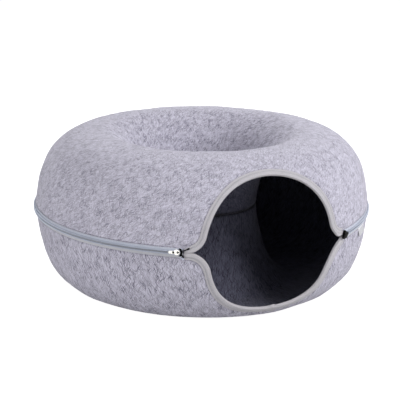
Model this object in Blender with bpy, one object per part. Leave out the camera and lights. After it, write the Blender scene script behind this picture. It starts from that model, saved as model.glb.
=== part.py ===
"""Felt cat cave: a hollow ring of thick moulded felt, in two halves closed by a zip round the outside.

The ring stands on a flat at z = 0, its axis is upright and its opening faces -Y. The felt is fuller
at the back, so the axis lies AXIS_Y before the middle of the whole, which is over the origin.
A place on the felt's outer face is given by its azimuth, from -Y towards +X, and by its run, the
distance along the felt from the zip line, over the crest (upper half) or under the base (lower
half), to the inner seam. Lengths are in metres, and angles in degrees where they are named here.
"""

import math

import bmesh
import bpy
import numpy as np
from mathutils import Matrix, Vector

GAP = 0.0003  # between pieces that touch

# The ring
AXIS_Y = -0.0105
HEIGHT = 0.273
SEAM_HEIGHT = 0.140  # of the zip line and of the inner seam
FELT_RADIUS = 0.2935  # of the felt at the zip line, before its rim flares
CREST_RADIUS = 0.1785
HOLE_RADIUS = 0.0944
FELT = 0.003
FUNNEL_POWER = 1.8  # of the superellipse quarter from the hole to the crest or base

# The two halves. flat: width of the level stretch at the crest or base. power: of the outer
# superellipse quarter. bulge: how far the lip of the opening leans out. tape: reach of the zip tape.
HALVES = {
    "upper": {"up": 1, "flat": 0.0, "power": 2.5, "bulge": 0.0, "tape": 0.0068},
    "lower": {"up": -1, "flat": 0.036, "power": 2.45, "bulge": 0.008, "tape": 0.0086},
}

# How far the soft felt is from a true ring
SEAM_SAG = 0.0099  # the zip line hangs lower at the opening, most on its right
SAG_SIDE = 7.5
SAG_SPREAD = 31
RIM_FLARE = 0.0026  # the felt's rim stands out under the zip, more on one side
FLARE_SWING = 0.0013
FLARE_SIDE = -114
FLARE_RUN = 0.012
BULGE_SIDE = 4  # where the lip of the opening leans out most
BULGE_SPREAD = 23

# Each half's share of the opening, as the felt's cut edge: half of a superellipse, half_width by
# reach, measured along the felt from the slit. left, right: radii of the corners that lead into it.
# lean: how far its far end lies towards +X.
OPENING = {
    "upper": {
        "half_width": 0.1191,
        "reach": 0.1207,
        "power": 1.89,
        "left": 0.0244,
        "right": 0.0258,
        "lean": 0.0,
    },
    "lower": {
        "half_width": 0.1110,
        "reach": 0.1121,
        "power": 2.15,
        "left": 0.0320,
        "right": 0.0555,
        "lean": -0.0038,
    },
}
SLIT_EDGE = 0.0023  # from the zip line to the felt's edge, at the slit and under the zip
SLIT_START = -29.4
TRIM_END = 28.7  # the binding ends here, at the retainer box
BINDING = 0.0008
BINDING_WIDTH = 0.011
BINDING_TAPER = 0.014  # the upper binding widens over this length from its cut end
BINDING_CUT_WIDTH = 0.004

# The zip
ZIP_START = 31.3
ZIP_END = 329.4
TAPE_START = 29.3  # under the retainer box
TAPE_END = 330.3
TAPE = 0.0009
TAPE_EDGE = 0.0002
COIL_WIDTH = 0.0035
COIL_THICKNESS = 0.0022

# The loose ends of the coils beside the slider
COIL_TAILS = {
    "upper": [
        {"azimuth": 330.0, "run": 0.0029, "width": 0.0024, "thickness": 0.0018},
        {"azimuth": 331.0, "run": 0.0048, "width": 0.0016, "thickness": 0.0016},
        {"azimuth": 332.3, "run": 0.0078, "width": 0.0018, "thickness": 0.0016},
    ],
    "lower": [
        {"azimuth": 329.9, "run": 0.0033, "width": 0.0024, "thickness": 0.0018},
        {"azimuth": 330.6, "run": 0.0070, "width": 0.0016, "thickness": 0.0016},
    ],
}

# Hard pieces, each on a plane that touches the zip line at its azimuth
SLIDER_AZIMUTH = -31.45
BOX_AZIMUTH = 29.2
BOX_LOW = 0.0016  # clear of the binding and the tape under it
BOX_HIGH = 0.0056
BOX_BEVEL = 0.0006

# The label, lying on the lower half below the zip
LABEL_AZIMUTHS = (41.0, 47.0)
LABEL_RUNS = (0.0090, 0.0255)
LABEL = 0.001
LABEL_LIFT = 0.0030  # of its free lower edge
LABEL_COLUMNS = 5
LABEL_ROWS = 4

# Mesh density
SECTION_STEPS = 400
OUTLINE_STEPS = 721
TRIM_SEGMENTS = 42
TURN_PACE = 0.03  # a turn of one radian in the cut edge counts as this length
ZIP_SEGMENTS = 39
TRIM_ROW = 0.012  # distance of the felt's second row from its cut edge
OUTER_ROWS = 7
FUNNEL_ROWS = 6
CREST_FAN = 46  # the opening's columns spread to this azimuth at the crest
DIFFERENCE = 1e-4
SMOOTH_ANGLE = 40

# The coil's section, as shares of its half width and half thickness
COIL_CORNERS = [(1, 0.45), (0.6, 1), (-0.6, 1), (-1, 0.45), (-1, -0.45), (-0.6, -1), (0.6, -1), (1, -0.45)]


def wrapped(azimuth):
    """The azimuth in degrees, between -180 and 180."""
    return (azimuth + 180) % 360 - 180


def bell(azimuth, centre, spread):
    return np.exp(-((wrapped(azimuth - centre) / spread) ** 2))


def unit(vectors):
    return vectors / np.linalg.norm(vectors, axis=-1, keepdims=True)


def section_quarter(seam_end, crest_end, power):
    """Radii and heights on a superellipse from seam_end, upright there, to crest_end, level there."""
    turn = np.linspace(0, math.pi / 2, SECTION_STEPS)
    radii = crest_end[0] + (seam_end[0] - crest_end[0]) * np.cos(turn) ** (2 / power)
    heights = seam_end[1] + (crest_end[1] - seam_end[1]) * np.sin(turn) ** (2 / power)
    return radii, heights


class Half:
    """One moulded half of the ring: its section, its outer face and its share of the opening."""

    def __init__(self, name):
        section = HALVES[name]
        self.up, self.flat, self.bulge = section["up"], section["flat"], section["bulge"]
        self.tape, self.opening = section["tape"], OPENING[name]
        self.crest_height = HEIGHT if self.up > 0 else 0.0
        outer_end = (CREST_RADIUS + self.flat / 2, self.crest_height)
        outer = section_quarter((FELT_RADIUS, SEAM_HEIGHT), outer_end, section["power"])
        seam_end = (HOLE_RADIUS, SEAM_HEIGHT + self.up * GAP / 2)
        funnel = section_quarter(seam_end, (CREST_RADIUS - self.flat / 2, self.crest_height), FUNNEL_POWER)
        self.radii = np.concatenate([outer[0], funnel[0][::-1]])
        heights = np.concatenate([outer[1], funnel[1][::-1]])
        steps = np.hypot(np.diff(self.radii), np.diff(heights))
        self.runs = np.concatenate([[0], np.cumsum(steps)])
        self.levels = (heights - SEAM_HEIGHT) / (self.crest_height - SEAM_HEIGHT)
        self.crest_runs = self.runs[SECTION_STEPS - 1], self.runs[SECTION_STEPS]

    def radius(self, run):
        return np.interp(run, self.runs, self.radii)

    def face(self, azimuth, run):
        """Points on the felt's outer face."""
        azimuth, run = np.broadcast_arrays(azimuth, run)
        level = np.interp(run, self.runs, self.levels)
        outside = run < self.crest_runs[0]
        seam = SEAM_HEIGHT - outside * SEAM_SAG * bell(azimuth, SAG_SIDE, SAG_SPREAD)
        flare = RIM_FLARE + FLARE_SWING * np.cos(np.radians(azimuth - FLARE_SIDE))
        bulge = self.bulge * bell(azimuth, BULGE_SIDE, BULGE_SPREAD) * 4 * level * (1 - level)
        radius = self.radius(run) + outside * (flare * np.exp(-((run / FLARE_RUN) ** 2)) + bulge)
        height = seam + (self.crest_height - seam) * level
        turn = np.radians(azimuth)
        return np.stack([radius * np.sin(turn), AXIS_Y - radius * np.cos(turn), height], axis=-1)

    def directions(self, azimuth, run):
        """Unit vectors along the run, and outwards."""
        azimuth, run = np.broadcast_arrays(azimuth, run)
        turn = math.degrees(DIFFERENCE)
        along = self.face(azimuth + turn, run) - self.face(azimuth - turn, run)
        down = unit(self.face(azimuth, run + DIFFERENCE) - self.face(azimuth, run - DIFFERENCE))
        return down, self.up * unit(np.cross(along, down))

    def lifted(self, azimuth, run, lift):
        return self.face(azimuth, run) + self.directions(azimuth, run)[1] * lift

    def trim(self):
        """Azimuths and runs along the cut edge, from the slit's left end to the box.

        They are closer together where the edge turns.
        """
        shape = self.opening
        turn = np.linspace(0, math.pi, OUTLINE_STEPS)
        above = shape["reach"] * np.sin(turn) ** (2 / shape["power"])
        corner = np.where(turn < math.pi / 2, shape["left"], shape["right"])
        below_top = np.clip(corner - above, 0, None)
        across = shape["half_width"] * np.abs(np.cos(turn)) ** (2 / shape["power"])
        across += corner - np.sqrt(corner**2 - below_top**2)
        across = shape["lean"] * above / shape["reach"] - np.sign(np.cos(turn)) * across
        run = np.concatenate([[SLIT_EDGE], SLIT_EDGE + above])
        azimuth = np.concatenate([[SLIT_START], np.degrees(across / self.radius(SLIT_EDGE + above))])
        steps = np.radians(np.diff(azimuth)) * self.radius(run[1:]), np.diff(run)
        headings = np.unwrap(np.arctan2(steps[1], steps[0]))
        turning = np.abs(np.diff(headings, prepend=headings[0]))
        pace = np.concatenate([[0], np.cumsum(np.hypot(*steps) + TURN_PACE * turning)])
        even = np.linspace(0, np.interp(TRIM_END, azimuth, pace), TRIM_SEGMENTS + 1)
        return np.interp(even, pace, azimuth), np.interp(even, pace, run)

    def behind_trim(self, azimuth, run):
        """Azimuths and runs one trim row back from the cut edge, square to it."""
        along = np.gradient(np.radians(azimuth)) * self.radius(run)
        down = np.gradient(run)
        length = np.hypot(along, down)
        back = azimuth - np.degrees(TRIM_ROW * down / length / self.radius(run))
        return back, run + TRIM_ROW * along / length


def zip_azimuths():
    return np.linspace(ZIP_START, ZIP_END, ZIP_SEGMENTS + 1)


def srgb(red, green, blue):
    """Linear colour from 8-bit screen values."""
    return [((value / 255 + 0.055) / 1.055) ** 2.4 for value in (red, green, blue)] + [1]


def material(name, colour, roughness, metallic=0.0):
    made = bpy.data.materials.new(name)
    made.use_nodes = True
    shader = made.node_tree.nodes["Principled BSDF"]
    shader.inputs["Base Color"].default_value = colour
    shader.inputs["Roughness"].default_value = roughness
    shader.inputs["Metallic"].default_value = metallic
    return made


def add_object(name, finish, points, faces):
    """A mesh object in the scene."""
    mesh = bpy.data.meshes.new(name)
    mesh.from_pydata([tuple(point) for point in points], [], faces)
    mesh.materials.append(finish)
    made = bpy.data.objects.new(name, mesh)
    bpy.context.scene.collection.objects.link(made)
    return made


def sweep(name, finish, sections, ring=False):
    """A closed skin over sections, an array of stations, corners and coordinates.

    A ring's last station joins its first one, and other sweeps have both ends filled.
    """
    stations, corners = sections.shape[:2]
    faces = []
    for station in range(stations if ring else stations - 1):
        near, far = station * corners, (station + 1) % stations * corners
        for corner in range(corners):
            beside = (corner + 1) % corners
            faces.append([near + corner, near + beside, far + beside, far + corner])
    if not ring:
        faces.append(list(range(corners)))
        faces.append([(stations - 1) * corners + corner for corner in range(corners)])
    made = add_object(name, finish, sections.reshape(-1, 3), faces)
    skin = bmesh.new()
    skin.from_mesh(made.data)
    bmesh.ops.recalc_face_normals(skin, faces=skin.faces)
    skin.to_mesh(made.data)
    skin.free()
    made.data.shade_smooth()
    made.data.set_sharp_from_angle(angle=math.radians(SMOOTH_ANGLE))
    return made


def sheet(name, half, finish, rows, low, high, ring=False):
    """A sheet along the felt: rows of azimuths and runs, filled from low to high above its outer face."""
    top = [half.lifted(azimuth, run, high) for azimuth, run in rows]
    under = [half.lifted(azimuth, run, low) for azimuth, run in reversed(rows)]
    return sweep(name, finish, np.stack(top + under, axis=1), ring)


def shell(name, half, finish):
    """The felt half: columns start on its cut edge and its zip rim, and fan out to the crest."""
    trim_azimuth, trim_run = half.trim()
    back_azimuth, back_run = half.behind_trim(trim_azimuth, trim_run)
    rim_run = np.full(ZIP_SEGMENTS + 1, SLIT_EDGE)
    edge = np.concatenate([trim_azimuth, zip_azimuths()]), np.concatenate([trim_run, rim_run])
    second = np.concatenate([back_azimuth, zip_azimuths()]), np.concatenate([back_run, rim_run + TRIM_ROW])
    step = (360 - 2 * CREST_FAN) / (ZIP_SEGMENTS + 2)
    opening_fan = np.linspace(-CREST_FAN, CREST_FAN, TRIM_SEGMENTS + 1)
    zip_fan = np.linspace(CREST_FAN + step, 360 - CREST_FAN - step, ZIP_SEGMENTS + 1)
    crest_azimuth = np.concatenate([opening_fan, zip_fan])
    rows = [edge]
    for share in np.linspace(0, 1, OUTER_ROWS + 1):
        spread = 1 - (1 - share) ** 2
        azimuth = second[0] + (crest_azimuth - second[0]) * spread
        rows.append((azimuth, second[1] + (half.crest_runs[0] - second[1]) * share))
    funnel_runs = np.linspace(half.crest_runs[1], half.runs[-1], FUNNEL_ROWS + 1)
    for run in funnel_runs if half.flat else funnel_runs[1:]:
        rows.append((crest_azimuth, run))
    return sheet(name, half, finish, rows, -FELT, 0, ring=True)


def binding(name, half, finish, tapered):
    """Tape folded over the felt's cut edge: a U round the edge, one gap clear of the felt."""
    azimuth, run = half.trim()
    edge, edge_out = half.face(azimuth, run), half.directions(azimuth, run)[1]
    back_azimuth, back_run = half.behind_trim(azimuth, run)
    back, back_out = half.face(back_azimuth, back_run), half.directions(back_azimuth, back_run)[1]
    length = np.concatenate([[0], np.cumsum(np.linalg.norm(np.diff(edge, axis=0), axis=1))])
    width = np.full(len(length), BINDING_WIDTH)
    if tapered:
        width = np.interp(length, [0, BINDING_TAPER], [BINDING_CUT_WIDTH, BINDING_WIDTH])
    near, far = GAP, GAP + BINDING
    soft = far * math.sqrt(0.5)
    inner_near, inner_far = -FELT - near, -FELT - far
    outline = [
        (1, 0, far),
        (0, 0, far),
        (0, -soft, soft),
        (0, -far, 0),
        (0, -far, -FELT),
        (0, -soft, -FELT - soft),
        (0, 0, inner_far),
        (1, 0, inner_far),
        (1, 0, inner_near),
        (0, -near, inner_near),
        (0, -near, near),
        (1, 0, near),
    ]
    corners = []
    for widths, depth, lift in outline:
        share = ((widths * width + depth) / TRIM_ROW)[:, None]
        outwards = unit(edge_out + (back_out - edge_out) * np.clip(share, 0, 1))
        corners.append(edge + (back - edge) * share + outwards * lift)
    return sweep(name, finish, np.stack(corners, axis=1))


def zip_tape(name, half, finish):
    """The tape on the outside of the felt's rim, from its free edge at the slit to its sewn edge."""
    azimuths = np.concatenate([[TAPE_START], zip_azimuths(), [TAPE_END]])
    rows = [(azimuths, run) for run in (TAPE_EDGE, SLIT_EDGE, half.tape)]
    return sheet(name, half, finish, rows, GAP, GAP + TAPE)


def zip_coil(name, half, finish, tail):
    """One side of the chain on its tape, with the loose end that splays from the slider's mouth."""
    bed = GAP + TAPE + GAP
    closed = zip_azimuths()
    azimuth = np.append(closed, [row["azimuth"] for row in tail])
    run = np.append(np.full(len(closed), TAPE_EDGE + COIL_WIDTH / 2), [row["run"] for row in tail])
    width = np.append(np.full(len(closed), COIL_WIDTH), [row["width"] for row in tail])
    thickness = np.append(np.full(len(closed), COIL_THICKNESS), [row["thickness"] for row in tail])
    lift = bed + COIL_THICKNESS / 2
    down, out = half.directions(azimuth, run)
    centre = half.face(azimuth, run) + out * lift
    corners = []
    for across, high in COIL_CORNERS:
        corner = centre + down * (across * width / 2)[:, None]
        corners.append(corner + out * (high * thickness / 2)[:, None])
    return sweep(name, finish, np.stack(corners, axis=1))


def zip_plane(half, azimuth):
    """Placement on the zip line: X along it, Y up, Z outwards."""
    origin = half.face(azimuth, 0.0)
    out = half.directions(azimuth, 0.0)[1]
    turn = math.radians(azimuth)
    along = Vector((math.cos(turn), math.sin(turn), 0))
    up = Vector(out).cross(along).normalized()
    axes = Matrix((along, up, along.cross(up))).transposed().to_4x4()
    return Matrix.Translation(Vector(origin)) @ axes


def prism(name, finish, outline, low, high, placement):
    """An outline in the placement's XY plane, in millimetres, filled from low to high along its Z."""
    shape = bmesh.new()
    corners = [shape.verts.new((x / 1000, y / 1000, low)) for x, y in outline]
    base = shape.faces.new(corners)
    top = bmesh.ops.extrude_face_region(shape, geom=[base])["geom"]
    moved = [item for item in top if isinstance(item, bmesh.types.BMVert)]
    bmesh.ops.translate(shape, verts=moved, vec=(0, 0, high - low))
    bmesh.ops.recalc_face_normals(shape, faces=shape.faces)
    mesh = bpy.data.meshes.new(name)
    shape.to_mesh(mesh)
    shape.free()
    mesh.materials.append(finish)
    made = bpy.data.objects.new(name, mesh)
    made.matrix_world = placement
    bpy.context.scene.collection.objects.link(made)
    return made


def combine(made, other, operation):
    """Adds other to made, or cuts it away, and keeps it as a hidden guide."""
    other.hide_render = True
    other.display_type = "WIRE"
    modifier = made.modifiers.new(other.name, "BOOLEAN")
    modifier.operation = operation
    modifier.object = other


def bevel(made, width):
    modifier = made.modifiers.new("Edges", "BEVEL")
    modifier.width = width
    modifier.segments = 1
    modifier.limit_method = "ANGLE"


def mirrored(outline):
    """The outline closed by its own mirror image in the X axis."""
    return outline + [(x, -y) for x, y in reversed(outline) if y]


def box_outline(low_x, high_x, half_y):
    return [(low_x, -half_y), (high_x, -half_y), (high_x, half_y), (low_x, half_y)]


PLATE_LOW = 0.0040
PLATE_HIGH = 0.0052
FLANGE_LOW = 0.0015
CROWN_HALF_WIDTH = 0.0010
# Outlines in millimetres, along the chain and across it. mirrored() adds the other half of each.
PLATE = [(4.2, 0), (1.4, 4.8), (-3.4, 4.8), (-5.0, 3.0)]
FLANGE = [(0.6, 4.1), (0.6, 4.7), (-3.3, 4.7), (-3.3, 4.1)]
CROWN_OUTSIDE = [(-4.2, 5.0), (-4.2, 7.5), (-3.4, 8.3), (0.4, 8.3), (1.2, 7.5), (1.2, 5.0)]
CROWN_INSIDE = [(0.2, 5.0), (0.2, 7.1), (0.0, 7.3), (-3.0, 7.3), (-3.2, 7.1), (-3.2, 5.0)]
TAB = [(-1.3, 2.0), (-6.0, 2.2), (-8.0, 2.7), (-14.0, 2.7), (-15.1, 1.6)]
TAB_WINDOW = (-7.4, -2.4, 1.3)
TAB_THICKNESS = 0.0010
TAB_PIVOT = (-0.0020, 0.00565)  # along the chain and outwards: where its underside meets the plate
TAB_SLOPE = 5.0
STOP = [(4.6, 0.15), (7.7, 0.15), (5.6, 5.9), (2.7, 5.7)]
STOP_HIGH = 0.0056
BOX = [
    (-1.5, 8.3),
    (3.2, 6.6),
    (7.6, 1.6),
    (7.4, -1.6),
    (3.7, -5.4),
    (-6.7, -6.6),
    (-8.4, -5.0),
    (-3.6, 0.3),
    (-5.2, 5.2),
    (-3.9, 7.4),
]


def zip_slider(half, finish):
    """The slider: a plate over both coils, a flange down each side, and the crown that holds the tab."""
    placement = zip_plane(half, SLIDER_AZIMUTH)
    slider = prism("zip_slider", finish, mirrored(PLATE), PLATE_LOW, PLATE_HIGH, placement)
    for side in (1, -1):
        outline = [(x, side * y) for x, y in FLANGE]
        flange = prism("slider_flange_guide", finish, outline, FLANGE_LOW, PLATE_HIGH - GAP, placement)
        combine(slider, flange, "UNION")
    upright = placement @ Matrix.Rotation(math.pi / 2, 4, "X")
    crown_outline = CROWN_OUTSIDE + CROWN_INSIDE
    crown = prism("slider_crown_guide", finish, crown_outline, -CROWN_HALF_WIDTH, CROWN_HALF_WIDTH, upright)
    combine(slider, crown, "UNION")
    return slider


def zip_pull_tab(half, finish):
    """The flat tab, lying back along the chain: its bar is under the crown, whose leg passes its window."""
    pivot = Vector((TAB_PIVOT[0], 0, TAB_PIVOT[1]))
    tilt = Matrix.Rotation(math.radians(-TAB_SLOPE), 4, "Y")
    placement = zip_plane(half, SLIDER_AZIMUTH) @ Matrix.Translation(pivot) @ tilt
    placement = placement @ Matrix.Translation((-TAB_PIVOT[0], 0, 0))
    tab = prism("zip_pull_tab", finish, mirrored(TAB), 0, TAB_THICKNESS, placement)
    window = box_outline(*TAB_WINDOW)
    cutter = prism("tab_window_guide", finish, window, -TAB_THICKNESS, 2 * TAB_THICKNESS, placement)
    combine(tab, cutter, "DIFFERENCE")
    return tab


def coil_stop(name, half, finish, side):
    outline = [(x, side * y) for x, y in STOP]
    return prism(name, finish, outline, PLATE_LOW, STOP_HIGH, zip_plane(half, SLIDER_AZIMUTH))


def retainer_box(half, finish):
    box = prism("zip_retainer_box", finish, BOX, BOX_LOW, BOX_HIGH, zip_plane(half, BOX_AZIMUTH))
    bevel(box, BOX_BEVEL)
    return box


def side_label(half, finish):
    """A small sheet sewn to the felt at its top edge, below the zip, that hangs a little clear of it."""
    azimuths = np.linspace(*LABEL_AZIMUTHS, LABEL_COLUMNS)
    runs = np.linspace(*LABEL_RUNS, LABEL_ROWS)
    lifts = np.linspace(GAP, GAP + LABEL_LIFT, LABEL_ROWS)
    top = [half.lifted(azimuths, run, lift + LABEL) for run, lift in zip(runs, lifts)]
    under = [half.lifted(azimuths, run, lift) for run, lift in zip(runs[::-1], lifts[::-1])]
    return sweep("side_label", finish, np.stack(top + under, axis=1))


def clear_scene():
    for item in list(bpy.data.objects):
        bpy.data.objects.remove(item, do_unlink=True)


def main():
    clear_scene()
    upper, lower = Half("upper"), Half("lower")
    felt = material("grey felt", srgb(180, 177, 192), 0.95)
    tape = material("binding tape", srgb(200, 198, 196), 0.85)
    zip_cloth = material("zip tape", srgb(170, 175, 182), 0.85)
    nylon = material("blue-grey coil", srgb(145, 155, 170), 0.45)
    silver = material("silver", srgb(220, 220, 218), 0.2, 1.0)
    black = material("black plastic", srgb(16, 16, 18), 0.4)
    white = material("white ribbon", srgb(232, 232, 230), 0.8)
    shell("top_shell", upper, felt)
    shell("bottom_shell", lower, felt)
    binding("top_binding", upper, tape, tapered=True)
    binding("bottom_binding", lower, tape, tapered=False)
    zip_tape("upper_zip_tape", upper, zip_cloth)
    zip_tape("lower_zip_tape", lower, zip_cloth)
    zip_coil("upper_zip_coil", upper, nylon, COIL_TAILS["upper"])
    zip_coil("lower_zip_coil", lower, nylon, COIL_TAILS["lower"])
    zip_slider(upper, silver)
    zip_pull_tab(upper, silver)
    coil_stop("upper_coil_stop", upper, black, 1)
    coil_stop("lower_coil_stop", upper, black, -1)
    retainer_box(upper, black)
    side_label(lower, white)


main()
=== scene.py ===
"""Looks of the felt cat cave: moulded felt halves, bound opening, coil zip, slider, label.

A place on the felt's outer face is given by its azimuth, in degrees from -Y towards +X, and by its
run, the distance in metres along the felt from the zip line, over the crest (upper half) or under
the base (lower half), to the inner seam. All lengths are in metres unless a name says otherwise.
"""

import math

import bmesh
import bpy
import numpy as np
from mathutils import Matrix, Vector


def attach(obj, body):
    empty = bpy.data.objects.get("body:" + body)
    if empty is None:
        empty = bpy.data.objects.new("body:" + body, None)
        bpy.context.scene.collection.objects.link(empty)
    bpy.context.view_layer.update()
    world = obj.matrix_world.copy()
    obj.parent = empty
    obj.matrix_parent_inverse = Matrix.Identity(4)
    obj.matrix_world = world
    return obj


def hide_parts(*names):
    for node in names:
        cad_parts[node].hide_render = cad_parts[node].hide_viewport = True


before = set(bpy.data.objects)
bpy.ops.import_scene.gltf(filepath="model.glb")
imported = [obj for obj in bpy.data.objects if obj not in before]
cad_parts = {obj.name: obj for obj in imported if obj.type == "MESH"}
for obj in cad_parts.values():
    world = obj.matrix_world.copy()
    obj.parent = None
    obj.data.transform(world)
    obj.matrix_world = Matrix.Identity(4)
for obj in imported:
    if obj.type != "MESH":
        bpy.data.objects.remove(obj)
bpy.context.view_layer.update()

# ---------------------------------------------------------------- sizes, as in the part's source

GAP = 0.0003
AXIS_Y = -0.0105
HEIGHT = 0.273
SEAM_HEIGHT = 0.140
FELT_RADIUS = 0.2935
CREST_RADIUS = 0.1785
HOLE_RADIUS = 0.0944
FELT = 0.003
FUNNEL_POWER = 1.8
HALVES = {
    "upper": {"up": 1, "flat": 0.0, "power": 2.5, "bulge": 0.0, "tape": 0.0068},
    "lower": {"up": -1, "flat": 0.036, "power": 2.45, "bulge": 0.008, "tape": 0.0086},
}
SEAM_SAG = 0.0099
SAG_SIDE = 7.5
SAG_SPREAD = 31
RIM_FLARE = 0.0026
FLARE_SWING = 0.0013
FLARE_SIDE = -114
FLARE_RUN = 0.012
BULGE_SIDE = 4
BULGE_SPREAD = 23
OPENING = {
    "upper": {
        "half_width": 0.1191,
        "reach": 0.1207,
        "power": 1.89,
        "left": 0.0244,
        "right": 0.0258,
        "lean": 0.0,
    },
    "lower": {
        "half_width": 0.1110,
        "reach": 0.1121,
        "power": 2.15,
        "left": 0.0320,
        "right": 0.0555,
        "lean": -0.0038,
    },
}
SLIT_EDGE = 0.0023
SLIT_START = -29.4
TRIM_END = 28.7
BINDING = 0.0008
BINDING_WIDTH = 0.0096
BINDING_TAPER = 0.014
BINDING_CUT_WIDTH = 0.004
ZIP_START = 31.3
ZIP_END = 329.4
TAPE_START = 29.3
TAPE_END = 330.3
TAPE = 0.0009
TAPE_EDGE = 0.0002
COIL_WIDTH = 0.0035
COIL_THICKNESS = 0.0022
COIL_BED = GAP + TAPE + GAP
# azimuth, run and radius along the coils' splayed ends, which take the black finish as painted shade, and
# along the bare filament that sticks out below
COIL_ENDS = {
    "upper": [
        (329.5, 0.0020, 0.0011),
        (330.0, 0.0029, 0.0009),
        (331.0, 0.0048, 0.0008),
        (332.3, 0.0078, 0.0010),
    ],
    "lower": [
        (329.4, 0.0022, 0.0011),
        (329.9, 0.0033, 0.0010),
        (330.6, 0.0070, 0.0009),
    ],
}
COIL_END_LIFT = COIL_BED + COIL_THICKNESS / 2 + 0.0004
FILAMENT_END = [
    (329.1, 0.0048, 0.0010),
    (329.8, 0.0077, 0.0010),
    (330.5, 0.0106, 0.0010),
]
FILAMENT_LIFT = 0.0028
TRIM_ROW = 0.012
CREST_FAN = 46
LABEL_AZIMUTHS = (41.0, 47.0)
LABEL_RUNS = (0.0090, 0.0228)
LABEL_LIFT = 0.0030
SLIDER_AZIMUTH = -31.45
BOX_AZIMUTH = 29.2

# ---------------------------------------------------------------- how finely things are made

SECTION_STEPS = 900
OUTLINE_STEPS = 2001
TURN_PACE = 0.03
TRIM_COLUMNS = 170
ZIP_COLUMNS = 310
EDGE_ROWS = 12
OUTER_ROWS = 38
ROW_GRADING = 1.3
FLAT_ROWS = 3
FUNNEL_ROWS = 34
FUNNEL_GRADING = 1.5
DIFFERENCE = 1e-4

# ---------------------------------------------------------------- small unevenness of the real one

LUMP = 0.0007  # height of the felt's soft lumps
LUMP_LENGTH = 0.085
LUMP_SEED = 5
DIMPLE = 0.00016
DIMPLE_LENGTH = 0.019
DIMPLE_SEED, DIMPLE_WAVES = 11, 22
LUMP_CLEAR = 3  # trim rows, and widths of the zip tape, within which the lumps set in
SWELL = 0.0016  # the felt stands up over the sewn edges of the zip tapes
SWELL_RISE = 0.0022
SWELL_FALL = 0.020
SWELL_CLEAR = (0.4, 1.2)  # trim rows from the opening between which the tape's swell sets in
TRIM_SWELL = 0.0011  # and less so along the binding
# width of the shade painted into the felt beside the sewn edges
CREASE_SHADE_WIDTH = 0.0011
SEAM_GROOVE = 0.0026  # the felt's edges round off inside, at the inner seam
SEAM_GROOVE_RUN = 0.0024
SEAM_SHADE_RUN = 0.0030
HOLE_FADE = 0.03  # run over which the unevenness dies out towards the inner seam
BASE_FADE = (0.90, 0.985)  # levels between which it dies out towards the flat base
ZIP_FADE = (1, 4)  # degrees before and after the zip's start between which the swell sets in
CREASE_SHADE_FADE = 2  # and degrees before it over which the painted shade beside the tape sets in

# maps of the felt's fibres: one true to scale outside, one in the funnel, and where they fade over
OUTSIDE_RADIUS = 0.25
FUNNEL_RADIUS = 0.135
MAP_FADE = (0.158, 0.205)
INNER_SHIFT = 0.7
LOWER_SHIFT = 2.0
# most fibres' way, in degrees from the round of the ring, and how much longer they are than STROKES says
FIBRE_LAY = {"upper": (45, 0.85), "lower": (76, 1.35)}

# binding, sewing, chain and label
BINDING_SEGMENTS = 330
FOLD_STEPS = 5
LEG_STEPS = 9
OUTER_LEG_STEPS = 21
WIDTH_WANDER = 0.00022
# two waves of the binding's width: the length of a radian of each and its share
WANDER = ((0.031, 1.0), (0.0127, 0.6))
PUFF = 0.0005
GROOVE = 0.0005
GROOVE_WIDTH = 0.0008
# strength of the shade painted into the stitch groove
GROOVE_SHADE = 0.55
PUCKER = 0.00006
PUCKER_WIDTH = 0.002
STITCH_INSET = 0.0037
STITCH_PITCH = 0.0036
STITCH_LENGTH = 0.0030
THREAD = 0.00030
STITCH_RINGS = 6
STITCH_SIDES = 6
STITCH_SPAN = 0.98  # of each stitch's half length that its rings take up
STITCH_RISE, STITCH_DIP = 0.5, 1.2  # in thread radii, at its middle and from there to its ends
STITCH_LIFT = 0.4  # thread radii off the groove
STITCH_ROW_STARTS = 4  # stations from the binding's end
LAP = 0.2112  # where the lower binding's ends overlap, along it from its left end
LAP_STEP = 0.0001
LAP_LENGTH = 0.014
LAP_HOLD = 0.15  # share of the lap's length before its end over which it is full
LAP_RISE = 0.0045  # of the cut end's fold, towards the opening
LAP_THICKNESS = 0.0018
# the folds swell towards each other, by so much at most, where the edges of the two halves run side
# by side, up to where the edge is so far past the slit's: at the left end and at the right
SLIT_FILL = (0.00105, 0.0026)
SLIT_OPENS = (0.0040, 0.0085)
LIPS_GAP = 0.00015
TAPE_SEGMENTS = 460
TAPE_CORNERS = 20
TAPE_POWER = 5
TAPE_STITCH_INSET = 0.0011
TAPE_STITCH_PITCH = 0.0042
TAPE_STITCH_LENGTH = 0.0034
TAPE_STITCH_START = 0.4  # degrees from the zip's ends
TAPE_STITCH_LIFT = 0.2
COIL_PITCH = 0.0014
COIL_PHASE = {"upper": 0.0, "lower": math.pi}
COIL_STEPS = 10
COIL_SQUARE = 0.75
COIL_SHADE = 0.4  # painted shade on each turn's side by the tape, where the side by the other coil has 1
STRAND = 0.00054
STRAND_SIDES = 5
COIL_END_RINGS = 26
COIL_END_SIDES = 10
COIL_END_SWELL = (0.25, 0.0005)  # length of the swelling at the tip in steps of the row, and its height
COIL_END_CLOSE = (0.15, 0.16)  # how far before the tip it starts to close, and the closing's radius
LABEL_COLUMNS = 17
LABEL_ROWS = 12
LABEL_THIN = 0.0006
LABEL_WAVE = 0.0004
LABEL_PHASE = 0.6
LABEL_SHADE = 0.8  # painted shade of its free end, from and up to these shares of its length
LABEL_SHADED = (0.12, 0.3)

WORLD_LIGHT = 0.14
FLOOR_GLOW = 0.97
FLOOR_BOUNCE = 0.68
# softboxes: azimuth and elevation of each, its distance from the middle of the ring, size and watts
LIGHTS = {
    "key light": (40, 28, 2.3, 1.2, 40.0),
    "left light": (-68, 8, 2.3, 1.4, 27.0),
    "back light": (165, 35, 2.4, 1.8, 36.0),
    "top light": (0, 88, 1.9, 1.8, 9.5),
}


def smooth(low, high, value):
    """0 up to low, 1 from high, and an S-curve 3s^2 - 2s^3 between them."""
    share = np.clip((value - low) / (high - low), 0, 1)
    return share * share * (3 - 2 * share)


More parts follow.
